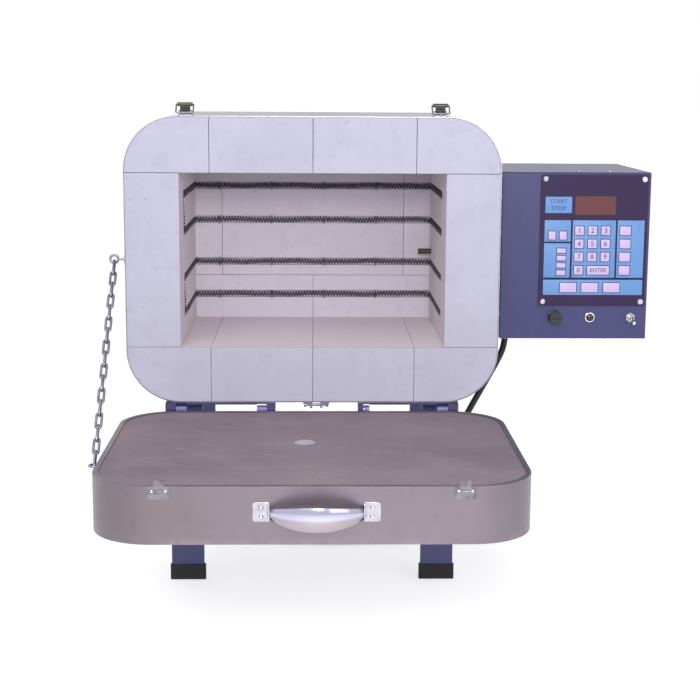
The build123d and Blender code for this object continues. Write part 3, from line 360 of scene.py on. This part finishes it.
def coil_point(turns):
    """Where the cord lies after so many turns, clockwise as seen from above."""
    inner = OUTER_TURN - TURN_STEP * FIRST_LAYER
    climbed = min(max((turns - FIRST_LAYER) / RAMP, 0), 1)
    back_out = max(turns - FIRST_LAYER - RAMP, 0)
    radius = max(OUTER_TURN - TURN_STEP * turns, inner) + TURN_STEP * back_out
    angle = math.radians(-90 - 360 * turns)
    height = FLOOR + CORD / 2 + LAYER_STEP * climbed
    return (COIL_MIDDLE[0] + radius * math.cos(angle), COIL_MIDDLE[1] + radius * math.sin(angle), height)


all_turns = FIRST_LAYER + RAMP + SECOND_LAYER
steps = round(all_turns * POINTS_PER_TURN)
wound = [coil_point(all_turns * n / steps) for n in range(1, steps + 1)]
LEAVING_TURN, PLUG_MIDDLE = 52.4, 14.0
PLUG_TAIL = (14.0, COIL_MIDDLE[1] + LEAVING_TURN, FLOOR + PLUG_MIDDLE)
route = free_run + wound + [(4.0, PLUG_TAIL[1], FLOOR + PLUG_MIDDLE - 1.0), PLUG_TAIL]
curve = bpy.data.curves.new("mains_lead", "CURVE")
curve.dimensions = "3D"
curve.bevel_depth, curve.bevel_resolution, curve.use_fill_caps = CORD / 2 * MM, 5, True
spline = curve.splines.new("NURBS")
spline.points.add(len(route) - 1)
for point, place in zip(spline.points, route):
    point.co = (*at(*place), 1)
spline.order_u = 3
spline.use_endpoint_u = True
spline.resolution_u = 6
mains_lead = bpy.data.objects.new("mains_lead", curve)
bpy.context.collection.objects.link(mains_lead)
mains_lead.data.materials.append(cord_rubber.material)
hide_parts("mains_cord", "cord_coil")
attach(mains_lead, "kiln_body")
length = sum((Vector(b) - Vector(a)).length for a, b in zip(route, route[1:]))
print("cord of about", round(length), "mm in", len(route), "points")

# %% [markdown]
# ## Making pieces
# Nearly every piece below starts as a bmesh. The kiln is mostly sheet, bar and wire, so four shapes do
# nearly all of it: a slab with rounded edges, a turned bar, a round head and a bent wire. A last function
# turns a finished bmesh into an object, gives it its finish and tells it which body it moves with.

# %% Slabs, bars and pieces
AROUND_BAR = 24


def shape():
    """An empty bmesh to build in."""
    return bmesh.new()


def round_edges(bm, edges, width, segments=2):
    """Takes the sharpness off some edges; the width is in millimetres."""
    if width > 0 and edges:
        bmesh.ops.bevel(bm, geom=edges, offset=width * MM, offset_type="OFFSET", segments=segments,
                        profile=0.5, affect="EDGES", clamp_overlap=True, material=-1)


def slab(bm, low, high, rounding=0.0, move=Matrix.Identity(4)):
    """A block between two corners of the drawing, in millimetres, with its edges rounded."""
    size = Vector(high) - Vector(low)
    middle = (Vector(high) + Vector(low)) / 2
    made = bmesh.ops.create_cube(bm, size=1.0)["verts"]
    bmesh.ops.scale(bm, vec=size * MM, verts=made)
    bmesh.ops.translate(bm, vec=middle * MM, verts=made)
    edges = list({edge for vert in made for edge in vert.link_edges})
    bmesh.ops.transform(bm, matrix=move, verts=made)
    round_edges(bm, edges, rounding)


def bar(bm, start, end, radius, tip=None, rounding=0.0, move=Matrix.Identity(4)):
    """A turned bar between two points in millimetres; tip is the radius at its far end."""
    start, end = Vector(start), Vector(end)
    run = end - start
    aim = run.to_track_quat("Z", "Y").to_matrix().to_4x4()
    place = Matrix.Translation((start + end) / 2 * MM) @ aim
    end_radius = radius if tip is None else tip
    made = bmesh.ops.create_cone(bm, cap_ends=True, cap_tris=False, segments=AROUND_BAR,
                                 radius1=radius * MM, radius2=end_radius * MM, depth=run.length * MM,
                                 matrix=move @ place)["verts"]
    if rounding:
        edges = {edge for vert in made for edge in vert.link_edges}
        rims = [edge for edge in edges if any(len(face.verts) > 4 for face in edge.link_faces)]
        round_edges(bm, rims, rounding)


def ball(bm, centre, radius, squash=1.0, move=Matrix.Identity(4)):
    """A round head or bead, which squash can flatten along Z before it is moved."""
    place = Matrix.Translation(Vector(centre) * MM) @ Matrix.Diagonal((1, 1, squash, 1))
    bmesh.ops.create_uvsphere(bm, u_segments=20, v_segments=12, radius=radius * MM, matrix=move @ place)


def wire(bm, points, radius, sides=8, closed=False, move=Matrix.Identity(4)):
    """A bent wire: a circle that is extruded from point to point along its route."""
    points = [Vector(p) * MM for p in points]
    count = len(points)
    ring, first, normal = None, None, None
    for number, point in enumerate(points):
        before = points[number - 1] if number or closed else point
        after = points[(number + 1) % count] if number < count - 1 or closed else point
        along = (after - before).normalized()
        if normal is None:
            normal = along.orthogonal().normalized()
        normal = (normal - along * normal.dot(along)).normalized()
        frame_here = Matrix((normal, along.cross(normal), along)).transposed().to_4x4()
        made = bmesh.ops.create_circle(bm, cap_ends=False, segments=sides, radius=radius * MM,
                                       matrix=move @ Matrix.Translation(point) @ frame_here)["verts"]
        edges = list({edge for vert in made for edge in vert.link_edges})
        if ring:
            bmesh.ops.bridge_loops(bm, edges=ring + edges)
        else:
            first = edges
        ring = edges
    if closed:
        bmesh.ops.bridge_loops(bm, edges=ring + first)
    else:
        for end in (first, ring):
            bmesh.ops.contextual_create(bm, geom=end)


def piece(name, bm, finish, body, *stands_for, soft_angle=38):
    """Turns a bmesh into a finished piece that moves with one body of the kiln."""
    bmesh.ops.recalc_face_normals(bm, faces=bm.faces)
    for face in bm.faces:
        face.smooth = True
    for edge in bm.edges:
        edge.smooth = len(edge.link_faces) == 2 and edge.calc_face_angle(0) < math.radians(soft_angle)
    mesh = bpy.data.meshes.new(name)
    bm.to_mesh(mesh)
    bm.free()
    thing = bpy.data.objects.new(name, mesh)
    bpy.context.collection.objects.link(thing)
    mesh.materials.append(finish.material)
    if stands_for:
        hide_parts(*stands_for)
    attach(thing, body)
    return thing


def drawn(x=0.0, y=0.0, z=0.0):
    """The move that takes a shape from the drawing's zero to a place in the scene."""
    return Matrix.Translation(at(x, y, z))


ON_KILN = drawn()
print("helpers ready")

# %% [markdown]
# Many pieces have the right form in the construction model already and only lack the small radius that
# real edges have. A copy of such a piece is merged, its flat faces are joined and its sharp edges get a
# fine bevel. Without that radius an edge catches no light and looks cut from card. The band's edge stops
# a little short of the face where the shut door rests, so that the two don't lie in one plane.

# %% Softened copies of the construction
SEAT_GAP = 0.15
SAME_PLACE = 0.00002
FLAT_ANGLE, SHARP_ANGLE = math.radians(0.6), math.radians(40)


def softened(node, finish, width):
    """A copy of a construction piece with its sharp edges rounded by a width in millimetres."""
    bm = bmesh.new()
    bm.from_mesh(frame["nodes"][node].data)
    bmesh.ops.remove_doubles(bm, verts=bm.verts, dist=SAME_PLACE)
    bmesh.ops.dissolve_limit(bm, angle_limit=FLAT_ANGLE, verts=bm.verts, edges=bm.edges)
    if node == "door_band":
        for vert in bm.verts:
            vert.co.z = min(vert.co.z, at(0, 0, HINGE_LINE - SEAT_GAP).z)
    edges = [e for e in bm.edges if len(e.link_faces) == 2 and e.calc_face_angle(0) > SHARP_ANGLE]
    round_edges(bm, edges, width)
    thing = piece(f"{node}_piece", bm, finish, home[node], node)
    weighted = thing.modifiers.new("even_faces", "WEIGHTED_NORMAL")
    weighted.keep_sharp = True


for node, finish, width in (
    ("floor_bricks", rim_brick, 0.5), ("roof_bricks", rim_brick, 0.5), ("side_bricks", rim_brick, 0.5),
    ("rear_bricks", chamber_brick, 0.4), ("door_lining", coating, 0.8), ("door_skin", skin_steel, 0.3),
    ("body_jacket", jacket_steel, 0.45), ("door_band", band_steel, 0.45), ("back_panel", jacket_steel, 0.4),
    ("leg_frames", leg_enamel, 0.5), ("leg_boots", boot_rubber, 0.8), ("control_box_case", box_enamel, 0.6),
    ("control_box_front", box_enamel, 0.6), ("controller_plate", plate_print, 0.35),
    ("body_hinge_leaves", hinge_zinc, 0.4), ("door_hinge_leaves", hinge_zinc, 0.4),
    ("jacket_clamps", zinc, 0.3), ("handle_brackets", nickel, 0.4), ("cord_gland", black_plastic, 0.5),
    ("box_spacers", zinc, 0.3), ("peephole_plug", rim_brick, 0.8), ("fuse_holder", black_plastic, 0.4),
):
    softened(node, finish, width)
print("softened pieces ready")

# %% [markdown]
# The pieces that stay as the construction model has them only need their finish: the latches, the inner
# works, the pins and the screws.

# %% Finishes on the rest
plain_pieces = {
    "element_tails": wire_scale, "element_pins": wire_scale, "tail_bushings": porcelain,
    "hinge_pins": chrome, "thermocouple": probe_scale, "circuit_board": board_green,
    "transformer": lamination, "power_relay": black_plastic, "terminal_block": phenolic,
    "body_chain_eye": zinc, "door_chain_eye": zinc, "leg_bolts": zinc, "control_box_screws": nickel,
    "back_panel_screws": nickel, "controller_screws": chrome, "latch_bases": worn_plate,
    "latch_lever_left": lever_steel, "latch_lever_right": lever_steel, "latch_loop_left": worn_plate,
    "latch_loop_right": worn_plate, "keepers": worn_plate, "display_window": red_window,
    "fuse_cap": black_plastic, "switch_body": nickel, "switch_lever": chrome, "mains_plug": cord_rubber,
}
for node, finish in plain_pieces.items():
    thing = frame["nodes"][node]
    thing.data.materials.clear()
    thing.data.materials.append(finish.material)
print(len(plain_pieces), "pieces painted")

# %% [markdown]
# ## Rivets and the pilot lamp
# Flat rivets hold the latch bases to the roof and the keepers to the door. The pilot lamp is a dark red
# lens in a bright bezel, with a black barrel behind the panel.

# %% Rivets and lamp
FACING_FRONT = Matrix.Rotation(math.pi / 2, 4, "X")
LATCH_X, LATCH_TOP, LATCH_RIVET_Y = 140.5, 321.2, 26.5
KEEPER_FACE, KEEPER_RIVET_Z = -329.2, -12.5
LATCH_RIVET, KEEPER_RIVET, HEAD_SQUASH = 1.5, 1.3, 0.4
LATCH_RIVET_OFFSET, KEEPER_RIVET_OFFSET = 4.5, 6.3
roof_rivets, keeper_rivets = shape(), shape()
for x in (-LATCH_X, LATCH_X):
    for side in (-1, 1):
        on_roof = drawn(x + side * LATCH_RIVET_OFFSET, LATCH_RIVET_Y, LATCH_TOP)
        on_door = drawn(x + side * KEEPER_RIVET_OFFSET, KEEPER_FACE, KEEPER_RIVET_Z) @ FACING_FRONT
        ball(roof_rivets, (0, 0, 0), LATCH_RIVET, HEAD_SQUASH, move=on_roof)
        ball(keeper_rivets, (0, 0, 0), KEEPER_RIVET, HEAD_SQUASH, move=on_door)
piece("latch_base_rivets", roof_rivets, chrome, "kiln_body")
piece("keeper_rivets", keeper_rivets, chrome, "door")

LAMP_X, LAMP_Z, PANEL_FACE = 320.8, 90.5, 50.0
BEZEL_RADIUS, BEZEL_THICK, LENS_RADIUS, LENS_TIP, LENS_LONG = 5.75, 2, 4.6, 4.2, 4.4
BARREL_RADIUS, BARREL_START, BARREL_END = 4.4, 2, 26
on_panel = drawn(LAMP_X, PANEL_FACE, LAMP_Z)
lens_end = drawn(LAMP_X, PANEL_FACE - LENS_LONG, LAMP_Z) @ FACING_FRONT
bezel, lens_dome, barrel = shape(), shape(), shape()
bar(bezel, (0, -BEZEL_THICK, 0), (0, 0, 0), BEZEL_RADIUS, rounding=0.4, move=on_panel)
bar(lens_dome, (0, -BEZEL_THICK, 0), (0, -LENS_LONG, 0), LENS_RADIUS, tip=LENS_TIP, rounding=0.3,
    move=on_panel)
ball(lens_dome, (0, 0, 0), LENS_TIP, 0.35, move=lens_end)
bar(barrel, (0, BARREL_START, 0), (0, BARREL_END, 0), BARREL_RADIUS, rounding=0.3, move=on_panel)
piece("lamp_bezel", bezel, chrome, "kiln_body", "pilot_lamp")
piece("lamp_lens", lens_dome, lamp_red, "kiln_body")
piece("lamp_barrel", barrel, black_plastic, "kiln_body")
print("rivets and lamp made")

# %% [markdown]
# ## Controller keypad
# The membrane has six pale blue fields with lilac keys, printed digits and a dark outline round each key.
# Each field and key is its own thin slab on the plate, so the keypad keeps its relief from any side. Places
# on the plate are measured from its lower left corner.

# %% Keypad
PLATE = (260.3, 48.4, 104.0)
PAD_FACE = PLATE[1] - 0.5
KEY_FACE = PAD_FACE - 0.4
OUTLINE_THICK, INK_THICK = 0.12, 0.03
DIGIT_KEY = 11.6
KEY_BORDER = 1.5
pads = ((5.3, 35.8, 107.2, 125.8), (5.0, 35.3, 74.5, 99.0), (5.0, 35.3, 33.0, 72.5),
        (37.5, 87.0, 33.0, 99.0), (89.1, 120.0, 33.0, 99.0), (5.0, 120.0, 12.8, 30.4))
digit_columns, key_rows = (45.2, 60.4, 75.6), (87.1, 72.0, 56.9, 41.5)
ENTER_X, START_X = 68.0, 20.5
keys = [(x, z, DIGIT_KEY, DIGIT_KEY) for z in key_rows[:3] for x in digit_columns]
keys += [(digit_columns[0], key_rows[3], DIGIT_KEY, DIGIT_KEY), (ENTER_X, key_rows[3], 26.8, DIGIT_KEY)]
keys += [(98.2, z, 14.0, 11.8) for z in key_rows]
keys += [(x, 81.5, 9.6, 11.0) for x in (13.8, 26.5)]
keys += [(25.0, z, 11.8, 7.0) for z in (64.0, 55.5, 47.0, 38.5)]
keys += [(x, 21.4, 20.5, 12.6) for x in (34.0, 58.8, 84.2)]


def plate_slab(bm, x, z, width, height, front, back, rounding=0.0):
    """A slab on the controller plate, its middle at x and z from the plate's lower left corner."""
    low = (PLATE[0] + x - width / 2, front, PLATE[2] + z - height / 2)
    high = (PLATE[0] + x + width / 2, back, PLATE[2] + z + height / 2)
    slab(bm, low, high, rounding, move=ON_KILN)


fields = shape()
for x0, x1, z0, z1 in pads:
    plate_slab(fields, (x0 + x1) / 2, (z0 + z1) / 2, x1 - x0, z1 - z0, PAD_FACE, PLATE[1], 0.2)
piece("keypad_fields", fields, pad_blue, "kiln_body", "keypad")
outlines, caps = shape(), shape()
for x, z, width, height in keys:
    outline_face = PAD_FACE - OUTLINE_THICK
    plate_slab(outlines, x, z, width, height, outline_face, PAD_FACE)
    plate_slab(caps, x, z, width - KEY_BORDER, height - KEY_BORDER, KEY_FACE, outline_face, 0.25)
piece("key_outlines", outlines, plate_print, "kiln_body")
piece("key_caps", caps, key_lilac, "kiln_body")
print(len(keys), "keys")


LINE_PER_LETTER = 1.35


def printed(name, words, finish):
    """Small flat words on the plate, each given as (text, x, z, height, face it lies on)."""
    whole = shape()
    for text, x, z, height, face in words:
        letters = bpy.data.curves.new(name, "FONT")
        letters.body, letters.size = text, height * LINE_PER_LETTER * MM
        letters.align_x, letters.align_y, letters.extrude = "CENTER", "CENTER", INK_THICK * MM
        letters.resolution_u = 3
        helper = bpy.data.objects.new(name, letters)
        bpy.context.collection.objects.link(helper)
        laid_out = bpy.context.evaluated_depsgraph_get()
        flat = bpy.data.meshes.new_from_object(helper.evaluated_get(laid_out))
        flat.transform(drawn(PLATE[0] + x, face, PLATE[2] + z) @ FACING_FRONT)
        whole.from_mesh(flat)
        bpy.data.objects.remove(helper)
    piece(name, whole, finish, "kiln_body")


DIGIT_HIGH, ENTER_HIGH, START_HIGH = 6.2, 4.8, 5.2
on_key, on_field = KEY_FACE - INK_THICK, PAD_FACE - INK_THICK
digits = [(str(1 + 3 * row + column), digit_columns[column], key_rows[row], DIGIT_HIGH, on_key)
          for row in range(3) for column in range(3)]
digits += [("0", digit_columns[0], key_rows[3], DIGIT_HIGH, on_key)]
digits += [("ENTER", ENTER_X, key_rows[3], ENTER_HIGH, on_key)]
digits += [("START", START_X, 120.3, START_HIGH, on_field), ("STOP", START_X, 112.6, START_HIGH, on_field)]
printed("key_digits", digits, key_ink)
print(len(digits), "printed words")

# %% [markdown]
# ## Handle
# The grip is a pressed bow with an upper and a lower face and a ridge between them. An eight-sided profile
# is spun round the centre of the bow, and then each section is made taller towards the middle. The heights
# in the profile are shares of the section's whole height.

# %% Handle grip
BOW_REACH, BOW_RISE = 42.8, 21.0
BOW_RADIUS = (BOW_REACH**2 + BOW_RISE**2) / (2 * BOW_RISE)
BOW_ANGLE = math.asin(BOW_REACH / BOW_RADIUS)
BOW_STEPS, MIDDLE_HIGH, NARROWING, NARROWING_POWER = 40, 23.0, 13.0, 2.2
HANDLE = (4.0, -334.5, -32.0)
BRACKET_FACE = -329.5
RIVET_X, RIVET_Z, RIVET_RADIUS = 51, 4.6, 2.1
bow = shape()
profile = [(1.9, 0.5), (3.4, 0.22), (2.9, -0.02), (3.3, -0.16),
           (1.9, -0.5), (-1.6, -0.46), (-2.2, 0.0), (-1.6, 0.46)]
ring = [bow.verts.new((BOW_RADIUS * MM + out * MM, 0, height * MM)) for out, height in profile]
start_face = bow.faces.new(ring)
to_first_end = Matrix.Rotation(-math.pi / 2 - BOW_ANGLE, 3, "Z")
bmesh.ops.rotate(bow, verts=ring, matrix=to_first_end, cent=(0, 0, 0))
bmesh.ops.spin(bow, geom=[start_face, *start_face.edges, *ring], cent=(0, 0, 0), axis=(0, 0, 1),
               angle=2 * BOW_ANGLE, steps=BOW_STEPS, use_merge=False, use_duplicate=False)
for vert in bow.verts:
    share = abs(vert.co.x) / (BOW_REACH * MM)
    vert.co.z *= MIDDLE_HIGH - NARROWING * share**NARROWING_POWER
bow_centre = at(HANDLE[0], HANDLE[1] - BOW_RISE + BOW_RADIUS, HANDLE[2])
bmesh.ops.translate(bow, vec=bow_centre, verts=bow.verts)
ridges = [e for e in bow.edges if len(e.link_faces) == 2 and e.calc_face_angle(0) > 0.5]
round_edges(bow, ridges, 0.5, 3)
piece("handle_grip", bow, grip_chrome, "door", "door_handle", soft_angle=50)
rivets = shape()
for x in (HANDLE[0] - RIVET_X, HANDLE[0] + RIVET_X):
    for z in (-RIVET_Z, RIVET_Z):
        ball(rivets, (x, BRACKET_FACE, HANDLE[2] + z), RIVET_RADIUS, move=ON_KILN)
piece("handle_rivets", rivets, chrome, "door")
print("handle bow of radius", round(BOW_RADIUS, 1))

# %% [markdown]
# ## Heating elements
# Resistance wire is wound into a long open coil and laid in the groove, where it sags a little between its
# pins. The coil is one thin wire on a spline, whose points turn round the line of the groove.

# %% Coiled elements
COIL_X, COIL_BACK, COIL_FRONT = 150.2, 228.5, 62.0
CHAMBER_FLOOR, CHAMBER_HIGH = 63.3, 194.4
LEVELS = [CHAMBER_FLOOR + share * CHAMBER_HIGH for share in (0.152, 0.365, 0.637, 0.857)]
COIL_BEND, COIL_PITCH, COIL_RADIUS, COIL_WIRE = 6.5, 3.6, 2.6, 1.5


def coil_line(lower, upper):
    """The middle line of one element, which goes round the chamber on two levels, its corners rounded."""
    corners = [(COIL_X, COIL_FRONT, upper), (COIL_X, COIL_BACK, upper), (-COIL_X, COIL_BACK, upper),
               (-COIL_X, COIL_FRONT, upper), (-COIL_X, COIL_FRONT, lower), (-COIL_X, COIL_BACK, lower),
               (COIL_X, COIL_BACK, lower), (COIL_X, COIL_FRONT, lower)]
    corners = [Vector(c) for c in corners]
    line = [corners[0]]
    for before, corner, after in zip(corners, corners[1:], corners[2:]):
        enter = corner + (before - corner).normalized() * COIL_BEND
        leave = corner + (after - corner).normalized() * COIL_BEND
        line += [enter.lerp(corner, t).lerp(corner.lerp(leave, t), t) for t in (0, 0.25, 0.5, 0.75, 1)]
    return line + [corners[-1]]


LONG_SAG, LONG_WAVE = 0.45, 17.0
SHORT_SAG, SHORT_WAVE = 0.25, 7.3
STEPS_PER_TURN = 8


def wound_wire(name, line, pitch, radius, thickness):
    """A helix round a line of points, as a poly spline with a round section."""
    places, travelled = [], 0.0
    step = pitch / STEPS_PER_TURN
    side = Vector((0, 0, 1))
    for start, end in zip(line, line[1:]):
        run = end - start
        along = run.normalized()
        if abs(along.z) > 0.9:
            side = Vector((1, 0, 0))
        elif abs(along.z) < 0.1:
            side = Vector((0, 0, 1))
        first = (side - along * side.dot(along)).normalized()
        second = along.cross(first)
        count = max(1, round(run.length / step))
        for n in range(count):
            here = n * run.length / count
            turn = 2 * math.pi * (travelled + here) / pitch
            sag = LONG_SAG * math.sin((travelled + here) / LONG_WAVE)
            sag += SHORT_SAG * math.sin((travelled + here) / SHORT_WAVE)
            offset = (first * math.cos(turn) + second * math.sin(turn)) * radius + first * sag
            places.append(start + along * here + offset)
        travelled += run.length
    coil = bpy.data.curves.new(name, "CURVE")
    coil.dimensions, coil.bevel_depth, coil.bevel_resolution = "3D", thickness / 2 * MM, 1
    coil.use_fill_caps = True
    thread = coil.splines.new("POLY")
    thread.points.add(len(places) - 1)
    for point, place in zip(thread.points, places):
        point.co = (*at(*place), 1)
    thing = bpy.data.objects.new(name, coil)
    bpy.context.collection.objects.link(thing)
    coil.materials.append(wire_scale.material)
    return thing


for name, lower, upper in (("heating_element_lower", LEVELS[0], LEVELS[1]),
                           ("heating_element_upper", LEVELS[2], LEVELS[3])):
    element = wound_wire(f"{name}_wire", coil_line(lower, upper), COIL_PITCH, COIL_RADIUS, COIL_WIRE)
    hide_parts(name)
    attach(element, "kiln_body")
print("elements at", [round(level, 1) for level in LEVELS])

# %% [markdown]
# ## Chain
# Welded links of round zinc wire, each turned a quarter from its neighbour. One link is bent from a
# closed oval of points and set down along the chain's line.

# %% Chain links
CHAIN_TOP, CHAIN_WAY = Vector((-223.0, 20.0, 155.5)), Vector((0, -0.7033, -0.7109))
FIRST_LINK, LINK_STEP, LINK_HALF, LINK_BEND, LINK_WIRE = 6.357, 15.513, 9.407, 2.8, 1.45
END_STEPS, AROUND_LINK = 7, 10
straight = LINK_HALF - LINK_BEND
end_angles = [math.pi * (n / END_STEPS - 0.5) for n in range(END_STEPS + 1)]
oval = [(straight + LINK_BEND * math.cos(a), LINK_BEND * math.sin(a), 0) for a in end_angles]
oval += [(-x, -y, 0) for x, y, _ in oval]
lean = CHAIN_WAY.to_track_quat("X", "Z").to_matrix().to_4x4()
groups = {"chain_upper": range(0, 7), "chain_bend_upper": (7,), "chain_middle": (8,),
          "chain_bend_lower": (9,), "chain_lower": range(10, 17)}
for group, numbers in groups.items():
    links = shape()
    for number in numbers:
        middle = CHAIN_TOP + CHAIN_WAY * (FIRST_LINK + LINK_STEP * number)
        quarter = Matrix.Rotation(math.pi / 2 if number % 2 == 0 else 0, 4, "X")
        wire(links, oval, LINK_WIRE, AROUND_LINK, closed=True, move=drawn(*middle) @ lean @ quarter)
    piece(f"{group}_links", links, zinc, home[group], group, soft_angle=80)
print("chain hung")

# %% [markdown]
# ## Floor and light
# A pale floor lies under a white surround. Both show white to the camera and in bright metal, while the
# light that they throw on the kiln stays plain.

# %% Floor
FLOOR_HALF, FLOOR_GLOW = 40.0, 0.6
ground = shape()
bmesh.ops.create_grid(ground, x_segments=1, y_segments=1, size=FLOOR_HALF)
floor_mesh = bpy.data.meshes.new("studio_floor")
ground.to_mesh(floor_mesh)
ground.free()
floor = bpy.data.objects.new("studio_floor", floor_mesh)
bpy.context.collection.objects.link(floor)
floor_paint = bpy.data.materials.new("studio_floor_paint")
floor_paint.use_nodes = True
tree = floor_paint.node_tree
floor_shader = tree.nodes["Principled BSDF"]
floor_shader.inputs["Base Color"].default_value = (0.86, 0.86, 0.87, 1)
floor_shader.inputs["Roughness"].default_value = 0.9
floor_shader.inputs["Emission Color"].default_value = (1, 1, 1, 1)
rays = tree.nodes.new("ShaderNodeLightPath")


def seen(tree, rays):
    """1 for rays from the camera, from gloss and through glass, and 0 for the light on the kiln."""
    total = rays.outputs["Is Camera Ray"]
    for kind in ("Is Glossy Ray", "Is Transmission Ray"):
        either = tree.nodes.new("ShaderNodeMath")
        either.operation = "MAXIMUM"
        tree.links.new(total, either.inputs[0])
        tree.links.new(rays.outputs[kind], either.inputs[1])
        total = either.outputs["Value"]
    return total


glow = tree.nodes.new("ShaderNodeMath")
glow.operation = "MULTIPLY"
glow.inputs[1].default_value = FLOOR_GLOW
tree.links.new(seen(tree, rays), glow.inputs[0])
tree.links.new(glow.outputs["Value"], floor_shader.inputs["Emission Strength"])
floor_mesh.materials.append(floor_paint)
print("floor laid")

# %% [markdown]
# The surround has two backgrounds: a plain one that lights the kiln, and a white one that the camera and
# bright metal see.

# %% Surround
world = bpy.data.worlds.new("studio")
bpy.context.scene.world = world
world.use_nodes = True
sky = world.node_tree
plain = sky.nodes["Background"]
plain.inputs["Color"].default_value = (0.94, 0.95, 1.0, 1)
plain.inputs["Strength"].default_value = 0.5
white = sky.nodes.new("ShaderNodeBackground")
white.inputs["Color"].default_value = (1, 1, 1, 1)
white.inputs["Strength"].default_value = 1.0
blend = sky.nodes.new("ShaderNodeMixShader")
sky.links.new(seen(sky, sky.nodes.new("ShaderNodeLightPath")), blend.inputs["Fac"])
sky.links.new(plain.outputs["Background"], blend.inputs[1])
sky.links.new(white.outputs["Background"], blend.inputs[2])
sky.links.new(blend.outputs["Shader"], sky.nodes["World Output"].inputs["Surface"])
print("surround set")

# %% [markdown]
# A large soft lamp stands high on the left, a weaker one on the right, and a small one near the camera
# does what the photographer's flash did: it reaches into the chamber.

# %% Lamps


def lamp(name, place, target, size, power):
    """A soft square lamp that looks at a point of the drawing."""
    light = bpy.data.lights.new(name, "AREA")
    light.size, light.energy = size, power
    thing = bpy.data.objects.new(name, light)
    bpy.context.collection.objects.link(thing)
    thing.location = at(*place)
    thing.rotation_euler = (at(*target) - at(*place)).to_track_quat("-Z", "Y").to_euler()


lamp("key_lamp", (-500, -1500, 1500), (0, 0, 100), 1.1, 14)
lamp("flash_lamp", (60, -1350, 520), (0, 0, 140), 0.3, 9)
lamp("fill_lamp", (1100, -1300, 700), (100, 0, 100), 1.2, 5)
view_settings = bpy.context.scene.view_settings
view_settings.view_transform = "Standard"
print("studio lit")
